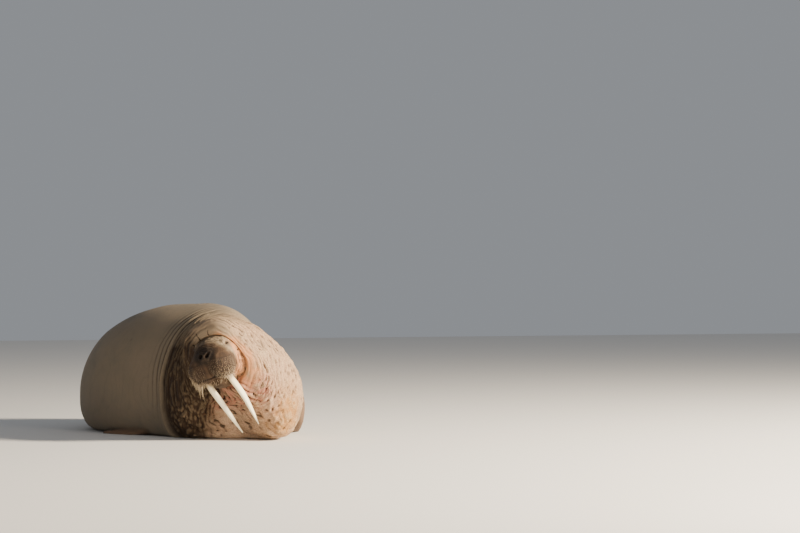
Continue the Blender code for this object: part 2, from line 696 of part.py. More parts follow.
def hind_stations(side):
    """The stations of one hindflipper in the object's frame."""
    turn = math.radians(HIND_TURN)
    left, back = np.array([math.cos(turn), -math.sin(turn)]), np.array([math.sin(turn), math.cos(turn)])
    made = []
    for name, across, behind, up, half_width, half_thick, swing in HIND_STATIONS:
        place = np.array(HIND_START) + side * across * left + behind * back
        swing = swing if side > 0 else 180.0 - swing
        made.append((name, *place, up, half_width, half_thick, swing - HIND_TURN))
    return made


def flipper(name, stations, digits, outer, body, collection, finish):
    """A flipper whose two faces are split alike, cut clear of the body that it grows from."""
    rings = flipper_rings(stations, digits, outer)
    count, around = rings.shape[:2]
    columns = around // 2
    faces = []
    for i in range(count - 1):
        for j in range(columns - 1):
            a, b = i * around + j, i * around + j + 1
            faces += [(a, b, b + around), (a, b + around, a + around)]
            a, b = i * around + around - 1 - j, i * around + around - 2 - j
            faces += [(a, b + around, b), (a, a + around, b + around)]
        for a, b in ((columns - 1, columns), (around - 1, 0)):
            a, b = i * around + a, i * around + b
            faces += [(a, b, b + around), (a, b + around, a + around)]
    for i, flip in ((0, False), (count - 1, True)):
        for j in range(columns - 1):
            a, b = i * around + j, i * around + j + 1
            c, d = i * around + around - 1 - j, i * around + around - 2 - j
            faces += [(a, c, d), (a, d, b)] if not flip else [(a, d, c), (a, b, d)]
    made = new_object(name, rings.reshape(-1, 3), faces, collection, finish)
    return combine(made, [body], "DIFFERENCE", "MANIFOLD")


clear_scene()
walrus = bpy.data.collections.new("walrus")
cutters = bpy.data.collections.new("cutters")
bpy.context.scene.collection.children.link(walrus)
bpy.context.scene.collection.children.link(cutters)

hide = material("hide", (0.42, 0.33, 0.25), 0.62)
flipper_hide = material("flipper_hide", (0.38, 0.22, 0.13), 0.65)
ivory = material("ivory", (0.86, 0.80, 0.66), 0.35)
eye_gloss = material("eye", (0.03, 0.02, 0.015), 0.10)

# The trunk and neck, parted at key rings of the skin
trunk, trunk_places = body_rings()
PARTS = [("tail", 0, 1), ("hips", 1, 4), ("torso", 4, 7), ("chest", 7, 9), ("neck", 9, len(STEPS))]
for part_name, from_key, to_key in PARTS:
    start = int(np.argmin(np.abs(trunk_places - from_key)))
    end = int(np.argmin(np.abs(trunk_places - to_key)))
    rings = trunk[start : end + 1].copy()
    if from_key > 0:
        ahead = np.array(axes_of(TRUNK_RINGS[from_key][4], 0, 0)[1])
        rings[0] += ahead * GAP / 2.0
    if to_key < len(STEPS):
        ahead = np.array(axes_of(TRUNK_RINGS[to_key][4], 0, 0)[1])
        rings[-1] -= ahead * GAP / 2.0
    else:
        rings[-1] -= HEAD_AXES[1] * GAP / 2.0
    loft(part_name, rings, walrus, hide)

# The head and muzzle
skull = head_rings()
skull[0] += HEAD_AXES[1] * GAP / 2.0
skull[-1] -= HEAD_AXES[1] * GAP / 2.0
head = loft("head", skull, walrus, hide)
snout = muzzle_rings()
snout[0] += HEAD_AXES[1] * GAP / 2.0
nose = from_head(head_surface(np.array([0.0, CAP_START, HEAD_AXIS_UP]), np.array([0.0, 1.0, 0.0])))
muzzle = loft("muzzle", snout, walrus, hide, last=nose)

# Tusks, and the cutters of the sockets that they stand in
sockets = []
for side, side_name in ((1, "left"), (-1, "right")):
    length = TUSK_LENGTHS[side_name]
    loft("tusk_" + side_name, tusk_rings(side, length), walrus, ivory)
    sockets.append(loft("tusk_socket", tusk_rings(side, length, GAP), cutters))

# Eyes with their lids and sockets, and the openings of the ears
folds, pits = [], []
for side, side_name in ((1, "left"), (-1, "right")):
    centre, _ = eye_centre(side)
    ball("eye_" + side_name, centre, EYE_RADIUS, walrus, eye_gloss)
    folds += lids(side, cutters)
    pits.append(ball("socket", centre, EYE_RADIUS + GAP, cutters))
    pits.append(ball("ear_opening", ear_point(side), EAR_RADIUS, cutters, segments=8))
combine(head, folds, "UNION", "MANIFOLD")
combine(head, pits + sockets, "DIFFERENCE", "MANIFOLD")

# Whiskers, then nostrils and the line of the mouth
chance = random.Random(7)
hairs = whiskers(1, cutters, chance) + whiskers(-1, cutters, chance)
combine(muzzle, hairs, "UNION", "MANIFOLD")
openings = []
for side in (1, -1):
    openings.append(mouth_cutter(side, cutters))
    middle = np.array([0.0, CAP_START, HEAD_AXIS_UP])
    aim = np.array(NOSTRIL) * (side, 1.0, 1.0) - middle
    opening = head_surface(middle, aim / np.linalg.norm(aim))
    openings.append(ball("nostril", opening, 1.0, cutters, segments=12, scale=NOSTRIL_RADII))
combine(muzzle, openings + sockets, "DIFFERENCE", "MANIFOLD")
remove(folds + pits + sockets + hairs + openings)

# Flippers, cut clear of the whole body
whole = np.concatenate([trunk, head_rings()[1:], muzzle_rings()[1:]])
whole += outward(whole) * GAP
body = loft("body", whole, cutters)
body.hide_render = True
body.display_type = "WIRE"
flipper("foreflipper_left", LEFT_FORE_STATIONS, FORE_DIGITS, 1, body, walrus, flipper_hide)
flipper("foreflipper_right", RIGHT_FORE_STATIONS, FORE_DIGITS, -1, body, walrus, flipper_hide)
flipper("hindflipper_left", hind_stations(1), HIND_DIGITS, 0, body, walrus, flipper_hide)
flipper("hindflipper_right", hind_stations(-1), HIND_DIGITS, 0, body, walrus, flipper_hide)

# The origin is on the floor under the middle of the whole animal
points = np.concatenate([
    np.array([tuple(vertex.co) for vertex in piece.data.vertices]) for piece in walrus.objects
])
middle = (points.min(axis=0) + points.max(axis=0)) / 2.0
stand = bpy.data.objects.new("stand_point", None)
stand.location = (-middle[0], -middle[1], 0.0)
bpy.context.scene.collection.objects.link(stand)
for piece in [*walrus.objects, body]:
    piece.parent = stand
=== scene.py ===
import itertools
import math

import bpy
import numpy as np
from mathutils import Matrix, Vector, kdtree


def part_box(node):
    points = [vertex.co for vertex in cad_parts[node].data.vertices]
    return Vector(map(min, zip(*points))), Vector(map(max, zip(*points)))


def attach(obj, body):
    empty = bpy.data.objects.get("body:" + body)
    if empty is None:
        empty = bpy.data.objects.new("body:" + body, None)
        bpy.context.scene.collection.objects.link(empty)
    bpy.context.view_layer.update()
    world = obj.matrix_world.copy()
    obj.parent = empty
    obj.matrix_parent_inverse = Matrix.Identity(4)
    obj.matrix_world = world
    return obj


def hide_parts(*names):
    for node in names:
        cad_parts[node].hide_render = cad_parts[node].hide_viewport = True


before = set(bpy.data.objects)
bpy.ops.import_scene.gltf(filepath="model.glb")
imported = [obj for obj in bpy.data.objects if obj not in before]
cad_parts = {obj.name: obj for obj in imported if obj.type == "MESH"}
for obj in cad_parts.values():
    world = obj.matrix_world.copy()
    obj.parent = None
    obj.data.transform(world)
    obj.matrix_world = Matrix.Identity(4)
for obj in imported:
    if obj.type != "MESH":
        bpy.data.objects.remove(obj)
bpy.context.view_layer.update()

# The trunk of an old bull, from the tail to the throat: blubber under a thick hide, which spreads a
# little where it lies on the floor. It is lofted through the same rings as the solids, only finer, in
# a frame of its own whose floor is at zero; the animal faces -Y and is turned to its own right, -X.
AROUND = 420  # points round each ring
SQUARENESS = ((2.10, 1.65), (2.9, 2.35))  # of a ring above and below, to the right and left: 2 is round
SAG = 0.056  # how far above and below the floor the flesh rounds over on to it
TRUNK_RINGS = [  # centre, then turn, pitch and roll in degrees, and reach to the right, left, up and down
    ("tail end", 0.693, 2.567, 0.102, 28, 0, 0, 0.047, 0.047, 0.0167, 0.0205),
    ("tail root", 0.646, 2.474, 0.116, 28, 0, 0, 0.116, 0.116, 0.060, 0.079),
    ("rump", 0.564, 2.325, 0.158, 25, 0, 0, 0.233, 0.233, 0.195, 0.186),
    ("hips", 0.466, 2.130, 0.205, 20, 0, 0, 0.363, 0.363, 0.344, 0.270),
    ("loin", 0.372, 1.860, 0.251, 10, 0, 0, 0.512, 0.474, 0.493, 0.344),
    ("belly", 0.316, 1.525, 0.279, 1, 0, 0, 0.618, 0.563, 0.586, 0.391),
    ("torso", 0.344, 1.116, 0.307, -1, 0, 0, 0.628, 0.577, 0.621, 0.428),
    ("shoulders", 0.409, 0.707, 0.326, 7, 0, 0, 0.549, 0.549, 0.609, 0.446),
    ("chest", 0.424, 0.372, 0.344, 19, 5, 2, 0.474, 0.512, 0.563, 0.465),
    ("neck", 0.353, 0.140, 0.381, 29, 8, 5, 0.400, 0.479, 0.488, 0.363),
    ("throat", 0.265, 0.000, 0.484, 37, 8, 9, 0.307, 0.391, 0.362, 0.270),
]
PUSHED = [  # where the flesh bulges or sinks: centre, radius and push
    ("breast", (0.558, -0.121, 0.140), 0.214, (0.000, -0.149, -0.084)),
    ("throat hollow", (0.167, -0.140, 0.186), 0.242, (0.074, 0.093, 0.0279)),
    ("behind the tusks", (0.326, -0.047, 0.084), 0.177, (0.0186, 0.130, 0.0186)),
    ("shoulder slope", (0.837, 0.233, 0.790), 0.307, (-0.065, 0.0186, -0.074)),
]


def axes_of(turn, pitch, roll):
    """The left, forward and up axes of something that faces -Y before it is turned to its right."""
    turn, pitch, roll = (math.radians(a) for a in (turn, pitch, roll))
    level = np.array([math.cos(turn), -math.sin(turn), 0.0])
    ahead = np.array([-math.sin(turn), -math.cos(turn), 0.0])
    forward = ahead * math.cos(pitch) + np.array([0.0, 0.0, math.sin(pitch)])
    upright = np.cross(forward, level)
    left = level * math.cos(roll) + upright * math.sin(roll)
    return left, forward, np.cross(forward, left)


def trunk_ring(ring, phi):
    """Points of one ring of the trunk, from the animal's left over its back."""
    _, x, y, z, turn, pitch, roll, right, left, up, down = ring
    left_axis, _, up_axis = axes_of(turn, pitch, roll)
    across, upward = np.cos(phi), np.sin(phi)
    (right_above, left_above), (right_below, left_below) = SQUARENESS
    above = np.where(across > 0, left_above, right_above)
    below = np.where(across > 0, left_below, right_below)
    power = 2.0 / np.where(upward > 0, above, below)
    wide = np.where(across > 0, left, right) * np.sign(across) * np.abs(across) ** power
    high = np.where(upward > 0, up, down) * np.sign(upward) * np.abs(upward) ** power
    return np.array([x, y, z]) + wide[:, None] * left_axis + high[:, None] * up_axis


def smooth_through(keys, samples):
    """A natural cubic spline through key rings, spaced by their mean distance. Samples count in keys."""
    keys = np.array(keys)
    steps = np.linalg.norm(np.diff(keys[..., :3], axis=0), axis=-1).mean(axis=-1)
    place = np.concatenate([[0.0], np.cumsum(steps)])
    count = len(keys)
    matrix = np.eye(count)
    rise = np.zeros_like(keys)
    for i in range(1, count - 1):
        before, after = steps[i - 1], steps[i]
        matrix[i, i - 1 : i + 2] = before, 2.0 * (before + after), after
        rise[i] = 6.0 * ((keys[i + 1] - keys[i]) / after - (keys[i] - keys[i - 1]) / before)
    bend = np.linalg.solve(matrix, rise.reshape(count, -1)).reshape(keys.shape)
    made = []
    for sample in samples:
        i = min(int(sample), count - 2)
        span = steps[i]
        near = place[i] + (sample - i) * span
        a, b = (place[i + 1] - near) / span, (near - place[i]) / span
        curve = (a**3 - a) * bend[i] + (b**3 - b) * bend[i + 1]
        made.append(a * keys[i] + b * keys[i + 1] + curve * span * span / 6.0)
    return np.array(made)


phi = np.linspace(0.0, 2.0 * math.pi, AROUND, endpoint=False)
trunk_keys = [trunk_ring(ring, phi) for ring in TRUNK_RINGS]

# The head, seen from the front with its chin up and drawn back into the neck. Its bulk is a few
# rounded masses that run into one another: brain case, jaw, nose, two whisker pads and the chin.
# Its frame starts midway between the eyes, with axes left, forward and up.
EYES_MIDDLE = (0.087, -0.194, 0.661)
HEAD_AXES = np.array(axes_of(45.0, -16.0, 13.0))  # turned to its right, nose down and leaning over
HEAD_AXIS_UP = -0.112  # height of the line that the head's rings are centred on
CAP_START = 0.047  # how far forward that line runs before the rings fan out over the muzzle
CRANIUM = ((-0.008, -0.056, -0.053), (0.148, 0.200, 0.105))
JAW = ((-0.006, -0.004, -0.122), (0.144, 0.154, 0.118))
BRIDGE = ((0.000, 0.070, -0.065), (0.082, 0.104, 0.060))
PAD = ((0.080, 0.091, -0.126), (0.090, 0.102, 0.097))
PAD_LIFT = 0.012  # the left pad is higher than the right one, pressed up by the neck
CHIN = ((0.004, 0.022, -0.235), (0.086, 0.078, 0.066))
BLENDED = 0.042  # how widely the masses run into one another
PADS_BLENDED = 0.0167  # less between the whisker pads and the chin, which leaves creases
HOOD_RINGS = [  # the skin that it is drawn back into: forward, section followed, stand-off right, up, left, down
    ("outer fold", -0.080, -0.040, 0.105, 0.086, 0.150, 0.080),
    ("hood crest", -0.044, -0.034, 0.044, 0.031, 0.100, 0.034),
    ("hood lip", -0.038, -0.032, 0.017, 0.011, 0.076, 0.020),
    ("crease", -0.056, -0.036, 0.006, 0.004, 0.068, 0.010),
]
NAPE_RINGS = [
    ("nape", -0.046, -0.042, 0.000, 0.000, 0.060, 0.004),
    ("cheek", -0.032, -0.031, 0.000, 0.000, 0.040, 0.000),
    ("temple", -0.014, -0.014, 0.000, 0.000, 0.018, 0.000),
]
CHEEK_LOW = 38.0  # degrees below level where a ring stands off furthest to the left
FIRST_SECTION = 0.004  # from here forward the rings lie on the head itself


def from_head(points):
    """Points of the head's frame in the trunk's."""
    return np.asarray(points, float) @ HEAD_AXES + np.array(EYES_MIDDLE)


def ellipsoid_depth(points, mass, side=1.0):
    """Roughly the distance of points outside an ellipsoid, below zero inside it."""
    centre, radii = np.array(mass[0]) * (side, 1.0, 1.0), np.array(mass[1])
    if mass is PAD:
        centre = centre + np.array([0.0, 0.0, PAD_LIFT * side])
    scaled = (points - centre) / radii
    reach = np.linalg.norm(scaled, axis=-1)
    slope = np.linalg.norm(scaled / radii, axis=-1)
    return reach * (reach - 1.0) / np.maximum(slope, 1e-9)


def blend(first, second, width):
    """The union of two depths, rounded where they meet."""
    share = np.clip(0.5 + 0.5 * (second - first) / width, 0.0, 1.0)
    return second + (first - second) * share - width * share * (1.0 - share)


def head_depth(points):
    """Roughly the distance outside the head, for points in its frame."""
    skull = blend(ellipsoid_depth(points, CRANIUM), ellipsoid_depth(points, JAW), BLENDED)
    skull = blend(skull, ellipsoid_depth(points, BRIDGE), BLENDED)
    pads = blend(ellipsoid_depth(points, PAD), ellipsoid_depth(points, PAD, -1.0), PADS_BLENDED)
    skull = blend(skull, pads, BLENDED)
    return blend(skull, ellipsoid_depth(points, CHIN), PADS_BLENDED)


def head_surface(origins, directions, reach=0.45):
    """Where rays from inside the head leave it, in its frame."""
    near = np.zeros(directions.shape[:-1])
    far = near + reach
    for _ in range(26):
        middle = 0.5 * (near + far)
        inside = head_depth(origins + directions * middle[..., None]) < 0.0
        near = np.where(inside, middle, near)
        far = np.where(inside, far, middle)
    return origins + directions * far[..., None]


def head_normal(points, step=0.002):
    """The outward direction of the head's skin at points of its frame."""
    slope = [head_depth(points + d) - head_depth(points - d) for d in np.eye(3) * step]
    slope = np.stack(slope, axis=-1)
    return slope / np.linalg.norm(slope, axis=-1, keepdims=True)


def head_ring(forward, section, stand_off=(0.0, 0.0, 0.0, 0.0)):
    """Points of a flat ring round the head, which may stand off the section that it follows."""
    right, up, left, down = stand_off
    across, upward = np.cos(phi), np.sin(phi)
    origins = np.array([0.0, section, HEAD_AXIS_UP]) + np.zeros((AROUND, 3))
    directions = np.stack([across, np.zeros_like(phi), upward], axis=-1)
    cheek = np.cos(phi + math.radians(CHEEK_LOW))
    off = left * np.clip(cheek, 0.0, 1.0) ** 2 + right * np.clip(-across, 0.0, 1.0) ** 2
    off += np.where(upward > 0, up, down) * upward**2
    points = head_surface(origins, directions) + directions * off[:, None]
    points[:, 1] = forward
    return from_head(points)


def muzzle_ring(opening):
    """Points of a ring over the muzzle, where rays stand at an angle to the forward axis."""
    angle = math.radians(opening)
    origins = np.array([0.0, CAP_START, HEAD_AXIS_UP]) + np.zeros((AROUND, 3))
    ahead = np.full_like(phi, math.cos(angle))
    directions = np.stack([np.cos(phi) * math.sin(angle), ahead, np.sin(phi) * math.sin(angle)], axis=-1)
    return from_head(head_surface(origins, directions))


# The hide is one skin from the tail to the nose, up to four centimetres thick. It starts smooth, and
# then gets the bulges of the flesh, the folds that ring the neck, and its bosses, pits and old scars.
RING_SPACING = (  # metres between rings, for each stretch between two of the rings above
    0.012, 0.012, 0.012, 0.012, 0.012, 0.012, 0.009, 0.0052, 0.0040, 0.0036, 0.0032, 0.0026, 0.0018, 0.0016
)
NAPE_SPACING = 0.0020
SECTION_SPACING = 0.0022
MUZZLE_OPENINGS = np.linspace(90.0, 1.5, 104)[1:]  # degrees off the line forward
WHERE_CREASE = len(RING_SPACING)  # counted in key rings from the tail end


def stretch_places(keys, spacings):
    """Places, counted in key rings, that stand at given spacings in each stretch between two keys."""
    gaps = np.linalg.norm(np.diff(np.array(keys), axis=0), axis=-1).mean(axis=-1)
    places = []
    for i, (gap, spacing) in enumerate(zip(gaps, spacings)):
        count = max(2, round(gap / spacing))
        places += [i + step / count for step in range(count)]
    return places


hood_keys = [head_ring(forward, section, off) for _, forward, section, *off in HOOD_RINGS]
body_keys = trunk_keys + hood_keys
places = stretch_places(body_keys, RING_SPACING)
body_skin = smooth_through(body_keys, places)
nape_keys = [hood_keys[-1]] + [head_ring(forward, section, off) for _, forward, section, *off in NAPE_RINGS]
nape_keys += [head_ring(FIRST_SECTION + step, FIRST_SECTION + step) for step in (0.0, 0.019)]
nape_places = stretch_places(nape_keys, [NAPE_SPACING] * 4)
nape_skin = smooth_through(nape_keys, nape_places)
sections = np.arange(FIRST_SECTION, CAP_START, SECTION_SPACING)
head_skin = np.array([head_ring(section, section) for section in sections])
muzzle_skin = np.array([muzzle_ring(opening) for opening in MUZZLE_OPENINGS])
skin = np.concatenate([body_skin, nape_skin, head_skin, muzzle_skin])
ring_count = len(skin)
crease_ring = len(body_skin)
place = np.concatenate([places, WHERE_CREASE + np.array(nape_places) / 4.0, np.full(ring_count, 15.0)])
place = place[:ring_count, None] + np.zeros((1, AROUND))
angle = phi[None, :] + np.zeros((ring_count, 1))

for _, centre, radius, push in PUSHED:
    distance = np.linalg.norm(skin - np.array(centre), axis=-1)
    fade = np.clip(len(TRUNK_RINGS) - place, 0.0, 1.0)
    skin = skin + (fade * np.exp(-((distance / radius) ** 2)))[..., None] * np.array(push)


def outward(rings):
    """Unit normals of a skin of rings, pointing away from the middle of each ring."""
    along = np.gradient(rings, axis=0)
    round_ = np.roll(rings, -1, axis=1) - np.roll(rings, 1, axis=1)
    normals = np.cross(along, round_)
    normals /= np.maximum(np.linalg.norm(normals, axis=-1, keepdims=True), 1e-9)
    spokes = rings - rings.mean(axis=1, keepdims=True)
    return normals * np.sign((normals * spokes).sum(axis=-1).mean())


def ramp(value, start, end):
    """A soft step from 0 at start to 1 at end."""
    share = np.clip((value - start) / (end - start), 0.0, 1.0)
    return share * share * (3.0 - 2.0 * share)


def bell(value, width):
    return np.exp(-((value / width) ** 2))


def sector(angles, middle, half):
    """1 at the middle of a range of angles in degrees round a ring, 0 at its ends."""
    off = np.abs((np.degrees(angles) - middle + 180.0) % 360.0 - 180.0)
    return 1.0 - ramp(off, 0.35 * half, half)


def scattered(cells, seed):
    """A repeatable number from 0 to 1 for each cell of a lattice."""
    x, y, z = (cells[..., i].astype(np.int64).astype(np.uint32) for i in range(3))
    mixed = x * np.uint32(0x8DA6B343) ^ y * np.uint32(0xD8163841) ^ z * np.uint32(0xCB1AB31F)
    mixed ^= np.uint32(seed * 0x9E3779B9 % 2**32)
    mixed ^= mixed >> np.uint32(15)
    mixed *= np.uint32(0x2C1B3C6D)
    mixed ^= mixed >> np.uint32(12)
    mixed *= np.uint32(0x297A2D39)
    mixed ^= mixed >> np.uint32(15)
    return mixed / 2.0**32


def mottle(points, seed, octaves=1):
    """Smooth noise from about -1 to 1, over points measured in its own grain."""
    total = 0.0
    for octave in range(octaves):
        scaled = points * 2.0**octave
        corner = np.floor(scaled)
        share = scaled - corner
        share = share * share * (3.0 - 2.0 * share)
        value = 0.0
        for offset in itertools.product((0, 1), repeat=3):
            weight = np.where(offset, share, 1.0 - share).prod(axis=-1)
            value = value + weight * scattered(corner + offset, seed + octave)
        total = total + (2.0 * value - 1.0) * 0.5**octave
    return total


def pebbles(points, seed):
    """Distance to the nearest of spots scattered one to a cell, and a number from 0 to 1 for that spot."""
    cell = np.floor(points)
    best = np.full(points.shape[:-1], 9.0)
    tag = np.zeros(points.shape[:-1])
    for offset in itertools.product((-1, 0, 1), repeat=3):
        here = cell + offset
        spot = here + np.stack([scattered(here, seed + i) for i in range(3)], axis=-1)
        distance = np.linalg.norm(points - spot, axis=-1)
        nearer = distance < best
        best = np.where(nearer, distance, best)
        tag = np.where(nearer, scattered(here, seed + 3), tag)
    return best, tag


def crests(phase, sharpness=0.6):
    """Round crests with thin valleys between them, one to each whole number, from -0.7 to 0.3."""
    return np.abs(np.sin(math.pi * phase)) ** sharpness - 0.7


# How far each point is behind the crease round the head, and the skin laid out on a drum as wide as
# each ring, on which the folds run round and the bosses and pits are drawn at one scale
travel = np.linalg.norm(np.diff(skin, axis=0), axis=-1).mean(axis=-1)
travel = np.concatenate([[0.0], np.cumsum(travel)])
behind = (travel[crease_ring] - travel)[:, None] + np.zeros((1, AROUND))
girth = np.linalg.norm(skin - np.roll(skin, 1, axis=1), axis=-1).sum(axis=1)
drum = (girth / (2.0 * math.pi))[:, None]
lie = np.stack([behind, drum * np.cos(angle), drum * np.sin(angle)], axis=-1)
right_side = sector(angle, 185.0, 120.0)
left_side = sector(angle, -10.0, 95.0)
top_side = sector(angle, 95.0, 80.0)
below = sector(angle, 285.0, 70.0)

# Broad folds as in the solids, fine ones over them, and one more roll close behind the hood
BROAD_FOLDS = 7
BROAD_STRETCH = (7.7, 10.9)  # in key rings
BROAD_DEPTH = 0.016
FINE_FOLDS = 26
FINE_REACH = 0.95  # metres behind the crease
FINE_DEPTH = 0.0105
way = np.clip((place - BROAD_STRETCH[0]) / (BROAD_STRETCH[1] - BROAD_STRETCH[0]), 0.0, 1.0)
lean = 0.10 * np.cos(2.0 * angle + 0.6) + 0.05 * np.cos(5.0 * angle)
broad = crests(way * BROAD_FOLDS + lean, 1.0) * np.sin(math.pi * way) ** 0.7
broad *= (0.70 - 0.30 * np.cos(angle)) * BROAD_DEPTH
wander = 0.9 * mottle(lie / 0.20, 11, 2) + 0.35 * mottle(lie / 0.05, 17)
fine_zone = ramp(behind, 0.012, 0.05) * (1.0 - ramp(behind, 0.46, FINE_REACH))
fine_zone *= 0.20 + 0.60 * right_side + 0.45 * top_side + 0.45 * left_side
fine_zone *= 1.0 - 0.85 * sector(angle, 258.0, 70.0)
fine_zone *= 1.0 - 0.8 * sector(angle, 78.0, 80.0) * (1.0 - ramp(behind, 0.09, 0.17))
fine_zone *= 0.40 + 0.80 * np.clip(0.6 + mottle(lie / (0.05, 0.12, 0.12), 23, 2), 0.0, 1.0)
fine_zone = np.clip(fine_zone, 0.0, 1.25)
turns = FINE_FOLDS * np.clip(behind / FINE_REACH, 0.0, 1.2) ** 0.85 + wander
folds = FINE_DEPTH * fine_zone * crests(turns, 0.95)
roll_zone = sector(angle, 125.0, 75.0) * (0.7 + 0.5 * mottle(lie / 0.06, 25))
folds += roll_zone * (0.003 * bell(behind - 0.050, 0.014) - 0.003 * bell(behind - 0.078, 0.012))
fan_zone = sector(angle, 143.0, 60.0) * ramp(behind, 0.30, 0.50) * (1.0 - ramp(behind, 0.84, 1.06))
fan_zone *= np.clip(0.75 + 0.5 * mottle(lie / (0.10, 0.3, 0.3), 37), 0.0, 1.0)
folds += 0.016 * fan_zone * crests(behind / 0.060 + 0.50 * mottle(lie / (0.3, 0.30, 0.30), 39, 2), 0.9)
folds += 0.014 * sector(angle, -12.0, 62.0) * bell(behind, 0.013)

# Cracks that run back from the hood's lip, and the folds between the tusks that run down the throat
for crack, start, end in ((97.0, 0.010, 0.050), (121.0, 0.006, 0.062), (140.0, 0.004, 0.035)):
    off = np.radians((np.degrees(angle) - crack + 180.0) % 360.0 - 180.0) * drum
    off += 0.004 * mottle(lie / 0.02, 27)
    folds -= 0.008 * bell(off, 0.0035) * ramp(behind, start - 0.012, start) * (1.0 - ramp(behind, end, end + 0.02))
throat_zone = sector(angle, 262.0, 50.0) * ramp(behind, 0.0, 0.03) * (1.0 - ramp(behind, 0.42, 0.66))
down_phase = (angle + 0.10 * mottle(lie / 0.10, 53, 2)) * 8.0 - behind / 0.13
throat = (0.012 + 0.008 * bell(behind - 0.12, 0.16)) * throat_zone * crests(down_phase, 0.8)

# Bosses of thick scarred hide on the neck and shoulders, drawn out along the folds
near, tag = pebbles((lie + 0.012 * mottle(lie / 0.03, 29)[..., None]) / (0.034, 0.042, 0.042), 31)
boss_zone = ramp(behind, 0.03, 0.14) * (1.0 - ramp(behind, 0.50, 0.90))
boss_zone *= np.clip(0.25 + 0.75 * right_side + 0.40 * left_side + 0.6 * below - 0.45 * top_side, 0.0, 1.0)
bosses = 0.0150 * boss_zone * np.clip(1.0 - near * near * 1.7, 0.0, 1.0) ** 1.5 * (0.25 + 0.75 * tag)
# Long pits and slits on the sunlit left of the chest
near, tag = pebbles((lie + 0.006 * mottle(lie / 0.025, 43)[..., None]) / (0.020, 0.048, 0.048), 47)
chest_zone = np.clip(left_side + 0.6 * below + 0.25 * top_side, 0.0, 1.0)
chest_zone *= ramp(behind, 0.05, 0.15) * (1.0 - ramp(behind, 0.45, 0.75))
pits = -0.0105 * chest_zone * np.clip(1.0 - (near / 0.48) ** 2, 0.0, 1.0) * ramp(tag, 0.25, 0.80)

# Slack of the rest of the hide: slow swells, small scars, and wrinkles across the rump and flanks
swell = 0.0050 * mottle(skin / 0.30, 61, 2) * (1.0 - ramp(place, 9.0, 11.0))
rump_zone = ramp(place, 0.8, 1.6) * (1.0 - ramp(place, 2.8, 4.6))
rump = 0.0042 * rump_zone * crests(behind / 0.060 + 1.5 * mottle(lie / (0.16, 0.24, 0.24), 67, 2))
flank_zone = ramp(place, 4.0, 5.0) * (1.0 - ramp(place, 7.4, 8.4))
flank_zone *= 0.5 + 0.5 * mottle(lie / 0.35, 73)
flank = 0.0012 * flank_zone * crests(behind / 0.11 + 2.2 * mottle(lie / (0.25, 0.3, 0.3), 71, 3))
edge_fold = sector(angle, 205.0, 62.0) * (bell(place - 8.02, 0.11) - 0.9 * bell(place - 8.25, 0.10))
near, tag = pebbles(lie / (0.11, 0.16, 0.16), 91)
nicks = -0.005 * bell(near, 0.060) * ramp(tag, 0.45, 0.5) * ramp(place, 1.0, 3.0) * (1.0 - ramp(place, 9.0, 10.0))

body_part = ramp(behind, 0.0, 0.01)
shoulder = 0.015 * bell(np.linalg.norm(skin - np.array([0.45, -0.03, 0.78]), axis=-1), 0.11)
fine_relief = (folds + throat + rump + flank + pits + nicks + bosses) * body_part
relief = fine_relief + (broad + swell + 0.016 * edge_fold + shoulder) * body_part

# The face: a wrinkled brow and nose bridge, lids over the eyes, crescent nostrils on a dark nose, the
# groove between the pads, a thin-lipped mouth under them, ear pits, and a mound round each whisker
EYE_FORWARD = 0.0093
EYE_ANGLE = 41.0  # degrees above level, seen from the middle of the head's ring
EYE_RADIUS = 0.0195
EYE_SUNK = 0.0130  # centre of the ball below the skin
LID_THICK = 0.0024
LID_OPENING = (0.0150, 0.0085)  # half its length and half its height
NOSTRIL = (0.0240, 0.149, -0.033)
NOSTRIL_SIZE = (0.0150, 0.0205)
MOUTH_UP = -0.199
MOUTH_ARCH = 0.0167  # how far the line rises half way along each side
MOUTH_SWEEP = (-8.0, 58.0)  # degrees off straight ahead, from the middle out to the corner
MOUTH_START = 0.0279
WHISKER_ROWS = 13
WHISKERS_PER_ROW = 15
WHISKER_TURNS = (-30.0, 84.0)  # degrees off straight ahead from the pad's middle, inner to outer
WHISKER_HEIGHTS = (30.0, -60.0)  # degrees above level, top row to bottom row
chance = np.random.default_rng(7)


def across_skin(out, lead=(0.0, 1.0, 0.0)):
    """Two directions in the skin where it faces out: the way of a lead, and upwards from it."""
    ahead = np.array(lead) - out * np.dot(out, lead)
    ahead /= np.linalg.norm(ahead)
    over = np.cross(out, ahead)
    return ahead, over * np.sign(over[2])


def eye_centre(side):
    """The middle of an eyeball and the direction that it looks in, in the head's frame."""
    angle_up = math.radians(EYE_ANGLE)
    origin = np.array([0.0, EYE_FORWARD, HEAD_AXIS_UP])
    point = head_surface(origin, np.array([side * math.cos(angle_up), 0.0, math.sin(angle_up)]))
    normal = head_normal(point)
    return point - normal * EYE_SUNK, normal


def nostril(side):
    middle = np.array([0.0, CAP_START, HEAD_AXIS_UP])
    aim = np.array(NOSTRIL) * (side, 1.0, 1.0) - middle
    point = head_surface(middle, aim / np.linalg.norm(aim))
    return point, head_normal(point)


def mouth_line(side, count=60):
    """Points along one half of the mouth, under the whisker pad."""
    share = np.linspace(0.0, 1.0, count)
    turn = np.radians(np.interp(share, (0.0, 1.0), MOUTH_SWEEP))
    up = MOUTH_UP + MOUTH_ARCH * (1.0 - np.abs(1.0 - 2.0 * share)) + side * share * PAD_LIFT
    origins = np.stack([0.0 * share, 0.0 * share + MOUTH_START, up], axis=1)
    return head_surface(origins, np.stack([side * np.sin(turn), np.cos(turn), 0.0 * turn], axis=1))


